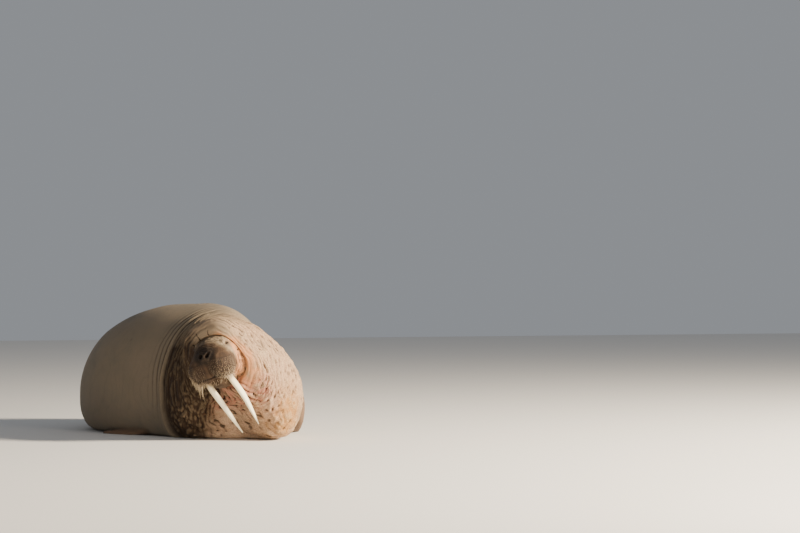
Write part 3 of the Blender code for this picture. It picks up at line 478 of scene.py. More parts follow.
def follicles(side):
    """Where the whiskers of one pad stand, and how far outwards and down in their rows they are."""
    down, outer = np.meshgrid(np.linspace(0, 1, WHISKER_ROWS), np.linspace(0, 1, WHISKERS_PER_ROW), indexing="ij")
    down = (down + chance.uniform(-0.025, 0.025, down.shape)).ravel()
    outer = (outer + chance.uniform(-0.025, 0.025, outer.shape)).ravel()
    turn = np.radians(np.interp(outer, (0, 1), WHISKER_TURNS))
    height = np.radians(np.interp(down, (0, 1), WHISKER_HEIGHTS) - 9.0 * outer)
    level = np.cos(height)
    ways = np.stack([side * np.sin(turn) * level, np.cos(turn) * level, np.sin(height)], axis=1)
    centre = np.array(PAD[0]) * (side, 1.0, 1.0) + np.array([0.0, 0.0, PAD_LIFT * side])
    roots = head_surface(centre + 0.0 * ways, ways)
    on_pad = ellipsoid_depth(roots, PAD, side) > -0.006
    return roots[on_pad], np.clip(outer[on_pad], 0.0, 1.0), np.clip(down[on_pad], 0.0, 1.0)


front = slice(crease_ring - 40, None)
local = (skin[front] - np.array(EYES_MIDDLE)) @ HEAD_AXES.T
ahead_of, face_angle, face_behind = local[..., 1], angle[front], behind[front]
on_face = ramp(-face_behind, -0.002, 0.012)
warp = mottle(local / 0.03, 101, 2)
crown_zone = sector(face_angle, 90.0, 78.0) * on_face * (1.0 - ramp(ahead_of, 0.030, 0.070))
bridge_zone = sector(face_angle, 92.0, 44.0) * ramp(ahead_of, 0.055, 0.080) * (1.0 - ramp(ahead_of, 0.135, 0.155))
face = 0.0040 * crown_zone * crests(ahead_of / 0.019 + 0.7 * warp, 0.9)
face += 0.0052 * bridge_zone * crests(ahead_of / 0.0165 + 0.6 * warp, 0.9)
face += 0.0030 * mottle(local / 0.045, 105, 2) * on_face
cheek_zone = (sector(face_angle, 335.0, 75.0) + sector(face_angle, 190.0, 60.0)) * on_face * (1.0 - ramp(ahead_of, 0.03, 0.06))
face += 0.0034 * np.clip(cheek_zone, 0.0, 1.0) * crests(ahead_of / 0.021 + 0.5 * warp, 0.9)
middle_zone = ramp(-local[..., 2], 0.048, 0.062) * (1.0 - ramp(-local[..., 2], 0.19, 0.215)) * ramp(ahead_of, 0.09, 0.12)
face -= 0.0022 * middle_zone * bell(local[..., 0] - 0.002, 0.0050)
dark_nose = np.zeros_like(face)
wet_parts = np.zeros_like(face)
hollow = np.zeros_like(face)
brow = np.zeros_like(face)
mouth = np.concatenate([mouth_line(-1)[::-1], mouth_line(1)])
mouth_gap = np.full(face.shape, 9.0)
for spot in mouth:
    mouth_gap = np.minimum(mouth_gap, np.linalg.norm(local - spot, axis=-1))
face += 0.0028 * bell(mouth_gap - 0.012, 0.0055) - 0.008 * bell(mouth_gap, 0.0048)
wet_parts += bell(mouth_gap, 0.0060)
hollow += bell(mouth_gap, 0.0060)
pad_places = {side: follicles(side) for side in (1, -1)}
lift = np.zeros(local.shape)
between_mounds = np.zeros_like(face)
for side in (1, -1):
    eye, out = eye_centre(side)
    ahead, over = across_skin(out)
    gap = local - eye
    high = gap @ out
    across, upward = gap @ ahead, gap @ over
    apart = np.hypot(across, upward)
    facing = ramp(high, -0.010, 0.0)
    bump = bell(np.linalg.norm(gap - out * 0.013 - over * 0.028 - ahead * 0.008, axis=-1), 0.019)
    face += 0.0115 * bump
    brow += bump
    wrinkled = ramp(apart, 0.021, 0.026) * (1.0 - ramp(apart, 0.038, 0.062)) * facing
    face += 0.0017 * wrinkled * crests(apart / 0.0085 + 0.5 * warp)
    dark_nose += 0.8 * bell(apart, 0.024) * facing
    slit = np.hypot(across / LID_OPENING[0], upward / LID_OPENING[1])
    bare = 1.0 - ramp(slit, 0.85, 1.15)
    wet_parts += (1.0 - ramp(slit, 1.0, 1.5)) * facing
    reach = EYE_RADIUS + LID_THICK * 0.9 - 0.0065 * bare
    ball_high = np.sqrt(np.clip(reach**2 - np.minimum(apart, reach) ** 2, 0.0, None))
    over_ball = np.where((apart < reach) & (high > -0.004), np.where(bare > 0.3, ball_high - high, np.maximum(ball_high - high, 0.0)), 0.0)
    lift += over_ball[..., None] * out
    face *= 1.0 - (1.0 - ramp(apart, 0.016, 0.022)) * facing

    hole, out = nostril(side)
    ahead, over = across_skin(out, (side, 0.0, 0.0))
    gap = local - hole
    across, upward = gap @ ahead, gap @ over
    near_hole = np.linalg.norm(gap, axis=-1)
    bent = across - 0.0045 * (upward / NOSTRIL_SIZE[1]) ** 2 - 0.35 * upward
    rim = np.hypot(bent / NOSTRIL_SIZE[0], upward / NOSTRIL_SIZE[1])
    close = 1.0 - ramp(near_hole, 0.036, 0.046)
    face += close * (0.0020 * bell(rim - 1.50, 0.32) - 0.0170 * (1.0 - ramp(rim, 0.55, 1.10)))
    wet_parts += close * (1.0 - ramp(rim, 0.9, 1.4))
    hollow += close * (1.0 - ramp(rim, 0.8, 1.4))
    dark_nose += 2.2 * bell(near_hole, 0.038)

    _, forward, section, *off = NAPE_RINGS[1]
    ear_column = int(round((12.0 if side > 0 else 168.0) / 360.0 * AROUND))
    ear_row = int(np.argmin(np.abs(local[40:80, ear_column, 1] - forward))) + 40
    ear_gap = np.linalg.norm(local - local[ear_row, ear_column], axis=-1)
    face += 0.0016 * bell(ear_gap - 0.009, 0.003) - 0.0080 * bell(ear_gap, 0.0036)
    hollow += bell(ear_gap, 0.0045)

    roots, outer, down = pad_places[side]
    nearby = np.flatnonzero(np.abs(ellipsoid_depth(local, PAD, side)).ravel() < 0.02)
    spots = local.reshape(-1, 3)[nearby]
    gap = np.full(len(spots), 9.0)
    for root in roots:
        gap = np.minimum(gap, np.linalg.norm(spots - root, axis=1))
    mounds = np.zeros(face.size)
    mounds[nearby] = bell(gap, 0.0036)
    face += 0.0022 * mounds.reshape(face.shape)
    around = np.zeros(face.size)
    around[nearby] = bell(gap, 0.018) * (1.0 - bell(gap, 0.0042))
    between_mounds += around.reshape(face.shape)
nose_zone = sector(face_angle, 92.0, 70.0) * ramp(ahead_of, 0.06, 0.11) * ramp(local[..., 2], -0.13, -0.05)
# The brow bumps are kept out of the dark, as painted highlights
dark_nose = np.clip(dark_nose + 0.75 * nose_zone, 0.0, 1.0) * (1.0 - 0.9 * np.clip(brow, 0.0, 1.0))

normals = outward(skin)
skin = skin + normals * relief[..., None]
skin[front] += (normals[front] * face[..., None]) + lift @ HEAD_AXES


def settle(points):
    """Lets the skin down on the floor: what would be below it is pressed flat, with a soft edge."""
    made = points.copy()
    height = np.clip(points[..., 2], -SAG, SAG)
    made[..., 2] = np.maximum(points[..., 2], (height + SAG) ** 2 / (4.0 * SAG))
    return made


skin = settle(skin)


def new_object(name, points, *face_arrays):
    """A mesh object from an array of points and arrays of faces of as many corners each."""
    mesh = bpy.data.meshes.new(name)
    mesh.vertices.add(len(points))
    mesh.vertices.foreach_set("co", np.asarray(points, np.float32).ravel())
    corners = np.concatenate([faces.ravel() for faces in face_arrays])
    sizes = np.concatenate([np.full(len(faces), faces.shape[1]) for faces in face_arrays])
    mesh.loops.add(len(corners))
    mesh.loops.foreach_set("vertex_index", corners.astype(np.int32))
    mesh.polygons.add(len(sizes))
    mesh.polygons.foreach_set("loop_start", (np.cumsum(sizes) - sizes).astype(np.int32))
    mesh.update(calc_edges=True)
    mesh.validate()
    mesh.shade_smooth()
    made = bpy.data.objects.new(name, mesh)
    bpy.context.scene.collection.objects.link(made)
    return made


def loft(name, rings, last=None):
    """Closed solids through rings, ended by fans round the middles of their ends or a given last point."""
    rings = rings if rings.ndim == 4 else rings[None]
    solids, count, around = rings.shape[:3]
    end = rings[:, -1].mean(axis=1) if last is None else last[None]
    points = np.concatenate([rings.reshape(solids, -1, 3), rings[:, 0].mean(axis=1)[:, None], end[:, None]], axis=1)
    near, far = count * around, count * around + 1
    row, column = np.meshgrid(np.arange(count - 1), np.arange(around), indexing="ij")
    a, b = (row * around + column).ravel(), (row * around + (column + 1) % around).ravel()
    quads = np.stack([a, a + around, b + around, b], axis=1)
    ring = np.arange(around)
    after = (ring + 1) % around
    fan = np.stack([np.full(around, near), ring, after], axis=1)
    cap = np.stack([np.full(around, far), near - around + after, near - around + ring], axis=1)
    triangles = np.concatenate([fan, cap])
    a, b, c = points[0, np.concatenate([quads[:, :3], quads[:, [0, 2, 3]], triangles]).T]
    if (a * np.cross(b, c)).sum() < 0.0:
        quads, triangles = quads[:, ::-1], triangles[:, ::-1]
    step = (np.arange(solids) * (near + 2))[:, None, None]
    return new_object(name, points.reshape(-1, 3), (quads + step).reshape(-1, 4), (triangles + step).reshape(-1, 3))


# The four flippers: five digits under thick webbed skin, ridged along the digits and blunt at the tips.
# The forelimbs come out of the flanks low down, the left one folded back beside the body and the right
# one under it; the hind ones trail from the rump with their soles down. All lie flat on the floor.
DIGITS = 5
COLUMNS_PER_DIGIT = 12
FORE_DIGITS = (1.00, 0.97, 0.91, 0.83, 0.74)  # lengths, from the leading edge back
HIND_DIGITS = (1.00, 0.88, 0.82, 0.87, 0.98)
DIGIT_RIDGE = 0.42
DIGIT_LOBE = 0.0279
EDGE_POWER = 2.6  # how square a flipper's section is
EDGE_THINNEST = 0.03
LIES_FROM = 2  # the station where a flipper comes down on the floor
STATION_STEPS = 24
LEFT_FORE_STATIONS = [  # place, half width, half thickness, and the turn of its width in degrees
    ("root", 0.837, 0.372, 0.391, 0.121, 0.074, -85),
    ("elbow", 0.916, 0.437, 0.242, 0.126, 0.079, -80),
    ("wrist", 0.939, 0.558, 0.102, 0.116, 0.051, -40),
    ("palm", 0.953, 0.707, 0.033, 0.130, 0.032, 5),
    ("digits", 0.981, 0.865, 0.0223, 0.144, 0.0214, 8),
    ("tips", 1.009, 1.023, 0.0112, 0.149, 0.0112, 8),
]
RIGHT_FORE_STATIONS = [
    ("root", 0.140, 0.614, 0.061, 0.102, 0.043, 240),
    ("elbow", 0.088, 0.688, 0.056, 0.104, 0.043, 225),
    ("wrist", 0.0279, 0.781, 0.043, 0.110, 0.037, 212),
    ("palm", -0.047, 0.911, 0.032, 0.121, 0.031, 205),
    ("digits", -0.112, 1.051, 0.0214, 0.130, 0.0205, 203),
    ("tips", -0.167, 1.190, 0.0112, 0.135, 0.0112, 203),
]
HIND_TURN = 28.0
HIND_START = (0.564, 2.325)
HIND_STATIONS = [  # measured from the rump: across, back and up
    ("root", 0.112, -0.074, 0.149, 0.074, 0.070, 0),
    ("ankle", 0.144, 0.056, 0.112, 0.079, 0.056, -6),
    ("heel", 0.167, 0.167, 0.056, 0.093, 0.039, -12),
    ("sole", 0.195, 0.298, 0.0279, 0.121, 0.026, -13),
    ("digits", 0.228, 0.437, 0.0195, 0.153, 0.0186, -13),
    ("tips", 0.260, 0.577, 0.0102, 0.177, 0.0102, -13),
]


def hind_stations(side):
    """The stations of one hindflipper in the trunk's frame."""
    turn = math.radians(HIND_TURN)
    left, back = np.array([math.cos(turn), -math.sin(turn)]), np.array([math.sin(turn), math.cos(turn)])
    made = []
    for name, across, behind_rump, up, half_width, half_thick, swing in HIND_STATIONS:
        spot = np.array(HIND_START) + side * across * left + behind_rump * back
        swing = swing if side > 0 else 180.0 - swing
        made.append((name, *spot, up, half_width, half_thick, swing - HIND_TURN))
    return made


def flipper_rings(stations, digits, outer, seed):
    """Rings of a flipper from its root to the tips of its webbed digits, and places for its nails."""
    table = np.array([station[1:] for station in stations], float)
    count = (len(table) - 1) * STATION_STEPS + 1
    keys = smooth_through(table[:, None, :], np.linspace(0.0, len(table) - 1.0, count))[:, 0, :]
    keys = np.concatenate([keys, np.gradient(keys[:, :3], axis=0)], axis=1)
    across = np.linspace(-1.0, 1.0, DIGITS * COLUMNS_PER_DIGIT + 1)
    in_digit = (across + 1.0) / 2.0 * DIGITS
    web = np.abs(np.sin(math.pi * in_digit))
    length = np.interp(in_digit, np.arange(DIGITS) + 0.5, digits[::-1]) - DIGIT_LOBE * (1.0 - web)
    edge = np.sqrt(np.clip(1.0 - np.abs(across) ** EDGE_POWER, EDGE_THINNEST, 1.0))
    rings = []
    for t in np.linspace(0.0, 1.0, count):
        reached = t * (1.0 - (1.0 - length) * t * t) * (count - 1)
        at = np.array([np.interp(reached, np.arange(count), column) for column in keys.T]).T
        middle, half_width, half_thick, turn, ahead = at[:, :3], at[:, 3:4], at[:, 4:5], at[:, 5], at[:, 6:]
        ahead = ahead / np.linalg.norm(ahead, axis=1, keepdims=True)
        turn = np.radians(turn)
        side = np.stack([np.cos(turn), np.sin(turn), np.zeros_like(turn)], axis=1)
        side -= ahead * (side * ahead).sum(axis=1, keepdims=True)
        side /= np.linalg.norm(side, axis=1, keepdims=True)
        up = np.cross(side, ahead)
        up *= np.sign(up[len(up) // 2] @ np.array([0.6 * outer, 0.0, 0.8]))
        on_digits = np.clip((t - 0.3) / 0.3, 0.0, 1.0)
        ridge = 1.0 + DIGIT_RIDGE * (web**0.7 - 0.6) * on_digits
        blunt = math.sqrt(np.clip((1.0 - t) / 0.05, 0.04, 1.0))
        knuckles = 0.0016 * np.abs(np.sin(48.0 * t + 2.0 * mottle(middle / 0.03, seed))) ** 0.6
        spread = middle + half_width * across[:, None] * side
        top = spread + up * (half_thick * (edge * ridge)[:, None] * blunt - knuckles[:, None] * edge[:, None])
        sole = spread - up * half_thick * edge[:, None] * blunt
        drop = np.clip(reached / STATION_STEPS - LIES_FROM, 0.0, 1.0) * sole[:, 2]
        top[:, 2] -= drop
        sole[:, 2] = np.maximum(sole[:, 2] - drop, 0.0)
        rings.append(np.concatenate([top, sole[::-1]]))
    return np.array(rings)


# The hide in one piece: the flippers grow out of the skin with a soft web where they meet it, and the
# lids are thick-edged folds over the eyes. Numbers kept on its points say how it is coloured.
LID_REACH = 66.0  # degrees to either corner
LID_POINTS = 25
RIM_POINTS = 2 * (DIGITS * COLUMNS_PER_DIGIT + 1)  # round a flipper
SEAM_STEPS = 26
SEAM_REACH = 0.90  # how much of the smoothing is left one edge further from a limb's seam


def lid(side, opening):
    """Rings of the thick edge of one lid, from corner to corner of an eye."""
    eye, out = eye_centre(side)
    ahead, over = across_skin(out)
    swing = np.radians(np.linspace(-LID_REACH, LID_REACH, LID_POINTS))[:, None]
    middling = np.cos(swing * 90.0 / LID_REACH)
    tilt = math.asin(opening / EYE_RADIUS) * middling
    way = np.sin(swing) * ahead + np.cos(swing) * (np.cos(tilt) * out + np.sin(tilt) * over)
    path = eye + (EYE_RADIUS + 0.3 * LID_THICK) * way
    along = np.gradient(path, axis=0)
    along /= np.linalg.norm(along, axis=1, keepdims=True)
    first = np.cross(along, way)
    turn = np.linspace(0.0, 2.0 * math.pi, 12, endpoint=False)[:, None]
    thick = (LID_THICK * (0.55 + 0.45 * middling))[:, None]
    return from_head(path[:, None] + thick * (np.cos(turn) * first[:, None] + np.sin(turn) * way[:, None]))


nose = from_head(head_surface(np.array([0.0, CAP_START, HEAD_AXIS_UP]), np.array([0.0, 1.0, 0.0])))
hide = loft("walrus_hide", skin, nose)
flipper_parts = [
    flipper_rings(LEFT_FORE_STATIONS, FORE_DIGITS, 1, 81),
    flipper_rings(RIGHT_FORE_STATIONS, FORE_DIGITS, -1, 83),
    flipper_rings(hind_stations(1), HIND_DIGITS, 0, 85),
    flipper_rings(hind_stations(-1), HIND_DIGITS, 0, 87),
]
limbs = [loft("limb", rings) for rings in flipper_parts]
lids = [loft("lid", lid(side, height * LID_OPENING[1])) for side in (1, -1) for height in (0.95, -0.85)]


def store(mesh, name, values, kind="FLOAT"):
    """Keeps a number or a place for each point of a mesh, for its materials to read."""
    held = mesh.attributes.new(name, kind, "POINT")
    field = "value" if kind == "FLOAT" else "vector"
    held.data.foreach_set(field, np.ascontiguousarray(values, np.float32).ravel())


def on_skin(values):
    """Values for the face's points as values for the whole skin."""
    made = np.zeros(angle.shape)
    made[front] = values
    return made


mix_a, mix_b = mottle(skin / 0.12, 111, 2), mottle(skin / 0.035, 113, 2)
cheek = sector(angle, -8.0, 66.0) * ramp(behind, -0.075, -0.045) * (1.0 - ramp(behind, 0.05, 0.13))
cheek += 0.5 * sector(angle, 52.0, 55.0) * ramp(behind, -0.012, 0.004) * (1.0 - ramp(behind, 0.02, 0.06))
throat_pink = sector(angle, 286.0, 52.0) * ramp(behind, -0.03, 0.01) * (1.0 - ramp(behind, 0.20, 0.46))
armpit = bell(np.linalg.norm(skin - np.array([0.86, 0.33, 0.32]), axis=-1), 0.24)
stained = 1.5 * bell(np.linalg.norm((skin - np.array([0.64, -0.24, 0.17])) / (1.0, 1.0, 1.4), axis=-1), 0.115)
stained += 0.45 * bell(np.linalg.norm(skin - np.array([0.52, -0.18, 0.05]), axis=-1), 0.13)
# Painted light under the breast, where it faces the floor, over its own pale tan
underside_painted_light = sector(angle, 280.0, 48.0) * ramp(behind, 0.14, 0.26) * (1.0 - ramp(behind, 0.58, 0.75))
# Painted light: the crown's upper left and the brow bumps, where the head's dark brown is left off
crown_and_brow_highlight = on_skin(np.clip(sector(face_angle, 60.0, 85.0) * (1.0 - ramp(ahead_of, 0.035, 0.085)) + brow, 0.0, 1.0))
# Painted shade over the dark brown hide on the right of the neck below the head
shaded = sector(angle, 195.0, 84.0) * ramp(behind, -0.03, 0.02) * ramp(place, 8.02, 8.35)
# How raised or sunk the hide is at each point, with nostrils, mouth and ear pits sunk further: the material paints
# shade in the low parts and highlights on the crests
cavity = 0.5 + fine_relief / 0.014 + on_skin(np.minimum(face, 0.0015) / 0.010 - hollow)
masks = {
    "cavity": (np.clip(cavity, 0.0, 1.0), 0.5),
    "on_limb": (np.zeros_like(angle), 1.0),
    "folded": (np.clip(fine_zone + boss_zone + chest_zone + on_skin(0.8 * on_face), 0.0, 1.0), 0.6),
    "chest": (np.clip(chest_zone * (1.0 + 0.5 * mix_a), 0.0, 1.0), 0.0),
    "cheek": (np.clip(cheek * (1.1 + 0.8 * mix_b), 0.0, 1.0), 0.0),
    "throat": (np.clip(throat_pink * (0.9 + 0.9 * mix_b), 0.0, 1.0), 0.0),
    "rust": (np.clip(armpit * (1.0 + 0.5 * mix_b), 0.0, 1.0), 0.50),
    "stained": (np.clip(stained * (1.0 + 0.6 * mix_b), 0.0, 1.0), 0.0),
    "trunk": (ramp(behind, 0.40, 1.00), 0.8),
    "pale_and_painted_light": (underside_painted_light, 0.0),
    # Dark brown hide with painted shade on the neck's right, and a little painted shade on every flipper
    "umber_and_shade": (np.clip(shaded * (1.30 + 0.3 * mix_a), 0.0, 1.0), 0.3),
    "head": (np.clip(on_skin(on_face) * (1.05 + 0.25 * mix_b - 0.6 * cheek - 0.95 * crown_and_brow_highlight), 0.0, 1.0), 0.0),
    "pads": (np.clip(on_skin(between_mounds), 0.0, 1.0), 0.0),
    "dark_nose": (np.clip(on_skin(dark_nose) * (1.0 + 0.3 * mix_b), 0.0, 1.0), 0.0),
    "wet": (np.clip(on_skin(wet_parts), 0.0, 1.0), 0.0),
}
for mask, (values, of_limb) in masks.items():
    store(hide.data, mask, np.concatenate([values.ravel(), [values[0].mean(), values[-1].mean()]]))
    for limb in limbs:
        store(limb.data, mask, np.full(len(limb.data.vertices), of_limb))
    for edge in lids:
        of_lid = {"cavity": 0.45, "folded": 0.4, "dark_nose": 0.9, "wet": 0.7}.get(mask, 0.0)
        store(edge.data, mask, np.full(len(edge.data.vertices), of_lid))
store(hide.data, "lie", np.concatenate([lie.reshape(-1, 3), lie[0, :1], lie[-1, :1]]), "FLOAT_VECTOR")
for limb in limbs + lids:
    at = np.empty(len(limb.data.vertices) * 3, np.float32)
    limb.data.vertices.foreach_get("co", at)
    at = at.reshape(-1, 3)
    # Laid out so that it runs on from the skin that its root is in
    root = at[5 * RIM_POINTS] if limb in limbs else at[0]
    row, column = np.unravel_index(np.argmin(np.linalg.norm(skin - root, axis=-1)), angle.shape)
    store(limb.data, "lie", at[:, [1, 0, 2]] - root[[1, 0, 2]] + lie[row, column], "FLOAT_VECTOR")

joined = bpy.data.collections.new("joined")
for limb in limbs + lids:
    joined.objects.link(limb)
bpy.context.scene.collection.children.link(joined)
union = hide.modifiers.new("union", "BOOLEAN")
union.operation = "UNION"
union.solver = "MANIFOLD"
union.operand_type = "COLLECTION"
union.collection = joined
graph = bpy.context.evaluated_depsgraph_get()
whole = bpy.data.meshes.new_from_object(hide.evaluated_get(graph))
hide.modifiers.clear()
hide.data = whole
for limb in limbs + lids:
    bpy.data.objects.remove(limb)
bpy.data.collections.remove(joined)

count = len(whole.vertices)
points = np.empty(count * 3, np.float32)
whole.vertices.foreach_get("co", points)
points = points.reshape(-1, 3).astype(float)
ends = np.empty(len(whole.edges) * 2, np.int32)
whole.edges.foreach_get("vertices", ends)
first, second = ends.reshape(-1, 2).T
on_limb = np.empty(count, np.float32)
whole.attributes["on_limb"].data.foreach_get("value", on_limb)
mixed = (on_limb[first] > 0.5) != (on_limb[second] > 0.5)
seam = np.zeros(count)
seam[first[mixed]] = seam[second[mixed]] = 1.0
for _ in range(SEAM_STEPS):
    spread = seam.copy()
    np.maximum.at(spread, first, seam[second] * SEAM_REACH)
    np.maximum.at(spread, second, seam[first] * SEAM_REACH)
    seam = spread
valence = np.bincount(first, minlength=count) + np.bincount(second, minlength=count)
soft = 0.8 * ramp(seam, SEAM_REACH**SEAM_STEPS, 1.0)[:, None]
laid = np.empty(count * 3, np.float32)
whole.attributes["lie"].data.foreach_get("vector", laid)
columns = [points, laid.reshape(-1, 3)]
for mask in masks:
    held = np.empty(count, np.float32)
    whole.attributes[mask].data.foreach_get("value", held)
    columns.append(held)
kept = np.column_stack(columns)
for _ in range(SEAM_STEPS):
    total = [np.bincount(first, v[second], count) + np.bincount(second, v[first], count) for v in kept.T]
    kept += soft * (np.stack(total, axis=1) / valence[:, None] - kept)
kept[:, 2] = np.maximum(kept[:, 2], 0.0)
whole.attributes["lie"].data.foreach_set("vector", kept[:, 3:6].astype(np.float32).ravel())
for mask, values in zip(masks, kept[:, 6:].T):
    whole.attributes[mask].data.foreach_set("value", values.astype(np.float32))

# The trunk's frame is laid on the solids' by the middle of an eye
eye_low, eye_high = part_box("eye_left")
shift = np.array((eye_low + eye_high) / 2.0) - from_head(eye_centre(1)[0])
whole.vertices.foreach_set("co", (kept[:, :3] + shift).astype(np.float32).ravel())
whole.update()
whole.shade_smooth()
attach(hide, "root")
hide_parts("tail", "hips", "torso", "chest", "neck", "head", "muzzle")
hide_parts("foreflipper_left", "foreflipper_right", "hindflipper_left", "hindflipper_right")


def put(tree, kind, sockets=None, **settings):
    """Adds a node to a tree. Each of its sockets is given a value or is fed by another node's output."""
    made = tree.nodes.new("ShaderNode" + kind)
    for setting, value in settings.items():
        setattr(made, setting, value)
    for socket, value in (sockets or {}).items():
        if isinstance(value, bpy.types.NodeSocket):
            tree.links.new(value, made.inputs[socket])
        else:
            made.inputs[socket].default_value = value
    return made


def held_by(tree, name, output="Fac"):
    return put(tree, "Attribute", attribute_name=name).outputs[output]


def between(tree, value, low, high, to_low=0.0, to_high=1.0):
    """A value taken from one range to another, and kept in it."""
    sockets = {"Value": value, "From Min": low, "From Max": high, "To Min": to_low, "To Max": to_high}
    return put(tree, "MapRange", sockets).outputs["Result"]


def times(tree, first_value, second_value, operation="MULTIPLY"):
    return put(tree, "Math", {0: first_value, 1: second_value}, operation=operation).outputs[0]


def laid_over(tree, share, under, over):
    """One colour over another, by a share that changes over the surface."""
    return put(tree, "Mix", {0: share, 6: under, 7: over}, data_type="RGBA").outputs[2]


def finish(name, roughness=0.5, coat=0.0):
    """A new material, its tree and the shader in it."""
    made = bpy.data.materials.new(name)
    made.use_nodes = True
    shader = made.node_tree.nodes["Principled BSDF"]
    shader.inputs["Roughness"].default_value = roughness
    shader.inputs["Coat Weight"].default_value = coat
    return made, made.node_tree, shader


# Blotches in two grains, which the hide, the ivory, the nails and the eyes all use
blotches = bpy.data.node_groups.new("blotches", "ShaderNodeTree")
for socket, kind in (("Vector", "NodeSocketVector"), ("Scale", "NodeSocketFloat")):
    blotches.interface.new_socket(socket, in_out="INPUT", socket_type=kind)
for socket in ("Broad", "Fine"):
    blotches.interface.new_socket(socket, in_out="OUTPUT", socket_type="NodeSocketFloat")
entry, leaving = blotches.nodes.new("NodeGroupInput"), blotches.nodes.new("NodeGroupOutput")
for socket, finer in (("Broad", 1.0), ("Fine", 9.0)):
    scale = times(blotches, entry.outputs["Scale"], finer)
    noise = put(blotches, "TexNoise", {"Vector": entry.outputs["Vector"], "Scale": scale, "Detail": 4.0, "Roughness": 0.6})
    blotches.links.new(between(blotches, noise.outputs["Fac"], 0.34, 0.66), leaving.inputs[socket])

# Leathery hide: tan where the sun has dried it, grey-brown, pink and orange where it rubs, rusty on
# the limbs, dark and wet at the nose and lips. Shade is painted near black into its folds, creases and
# hollows and dark over the right of the neck and the flippers, with painted highlights on the crests
# of the folds and the crown, and painted light on the breast's pale underside
TAN = (0.36, 0.255, 0.155, 1)
GREY_BROWN = (0.25, 0.190, 0.135, 1)
TRUNK_GREY = (0.150, 0.128, 0.100, 1)
OCHRE = (0.37, 0.170, 0.040, 1)
PALE_BREAST_AND_PAINTED_LIGHT = (0.78, 0.52, 0.35, 1)
UMBER_AND_SHADE = (0.046, 0.025, 0.013, 1)
CREASE_SHADE_AND_CRACKS = (0.020, 0.012, 0.008, 1)
CHEST_PINK = (0.50, 0.305, 0.190, 1)
CHEEK_ORANGE = (0.62, 0.290, 0.135, 1)
THROAT_PINK = (0.50, 0.190, 0.130, 1)
RUST = (0.255, 0.112, 0.050, 1)
HEAD_BROWN = (0.086, 0.050, 0.028, 1)
NOSE_BROWN = (0.019, 0.013, 0.010, 1)
STRAW = (0.56, 0.42, 0.25, 1)
leather, tree, shader = finish("walrus_hide")
shader.inputs["Specular IOR Level"].default_value = 0.22
where = held_by(tree, "lie", "Vector")
in_place = put(tree, "TexCoord").outputs["Object"]
stains = put(tree, "Group", {"Vector": in_place, "Scale": 3.2}, node_tree=blotches)
grain = put(tree, "Group", {"Vector": where, "Scale": 55.0}, node_tree=blotches)
folded = held_by(tree, "folded")
colour = laid_over(tree, times(tree, stains.outputs["Broad"], 0.80), TAN, GREY_BROWN)
colour = laid_over(tree, times(tree, stains.outputs["Fine"], 0.35), colour, GREY_BROWN)
patchy = between(tree, stains.outputs["Broad"], 0.0, 1.0, 1.0, 0.55)
colour = laid_over(tree, times(tree, held_by(tree, "trunk"), patchy), colour, TRUNK_GREY)
colour = laid_over(tree, times(tree, held_by(tree, "chest"), 0.8), colour, CHEST_PINK)
# The breast's pale tan underside, with painted light where it faces the floor
colour = laid_over(tree, times(tree, held_by(tree, "pale_and_painted_light"), 0.75), colour, PALE_BREAST_AND_PAINTED_LIGHT)
colour = laid_over(tree, times(tree, grain.outputs["Fine"], 0.22), colour, STRAW)
# Painted shade over dark brown hide on the right of the neck under the head and on the flippers
colour = laid_over(tree, held_by(tree, "umber_and_shade"), colour, UMBER_AND_SHADE)
colour = laid_over(tree, held_by(tree, "head"), colour, HEAD_BROWN)
colour = laid_over(tree, times(tree, held_by(tree, "rust"), 0.75), colour, RUST)
colour = laid_over(tree, times(tree, held_by(tree, "stained"), 0.85), colour, OCHRE)
colour = laid_over(tree, times(tree, held_by(tree, "throat"), 0.8), colour, THROAT_PINK)
colour = laid_over(tree, held_by(tree, "cheek"), colour, CHEEK_ORANGE)
colour = laid_over(tree, times(tree, held_by(tree, "pads"), 0.75), colour, NOSE_BROWN)
colour = laid_over(tree, times(tree, held_by(tree, "dark_nose"), 0.9), colour, NOSE_BROWN)
# Painted shade: near black in fold valleys, creases, nostrils, the mouth and ear pits, less on the pink chest and
# cheek
cavity_value = held_by(tree, "cavity")
rosy = times(tree, held_by(tree, "chest"), held_by(tree, "cheek"), "ADD")
rosy = times(tree, rosy, held_by(tree, "throat"), "SUBTRACT")
crease_shade = between(tree, rosy, 0.0, 1.0, 0.95, 0.70)
colour = laid_over(tree, times(tree, between(tree, cavity_value, 0.50, 0.10), crease_shade), colour, CREASE_SHADE_AND_CRACKS)
# Painted highlights: pale straw on the crests of the folds, less where the neck is painted dark
crest_highlight = between(tree, held_by(tree, "umber_and_shade"), 0.0, 1.0, 0.30, 0.17)
colour = laid_over(tree, times(tree, between(tree, cavity_value, 0.62, 1.0), crest_highlight), colour, STRAW)
cells = put(tree, "TexVoronoi", {"Vector": where, "Scale": 95.0}, feature="DISTANCE_TO_EDGE")
cracks = between(tree, cells.outputs["Distance"], 0.0, 0.12, 1.0, 0.0)
colour = laid_over(tree, times(tree, times(tree, cracks, folded), 0.45), colour, CREASE_SHADE_AND_CRACKS)
tree.links.new(colour, shader.inputs["Base Color"])
dry = between(tree, grain.outputs["Fine"], 0.0, 1.0, 0.52, 0.72)
tree.links.new(between(tree, held_by(tree, "wet"), 0.0, 1.0, dry, 0.22), shader.inputs["Roughness"])
height = times(tree, between(tree, cells.outputs["Distance"], 0.0, 0.22), times(tree, folded, 0.6, "ADD"))
height = times(tree, height, times(tree, grain.outputs["Fine"], 0.45), "ADD")
bump = put(tree, "Bump", {"Height": height, "Strength": 0.7, "Distance": 0.0022})
tree.links.new(bump.outputs["Normal"], shader.inputs["Normal"])
hide.data.materials.clear()
hide.data.materials.append(leather)

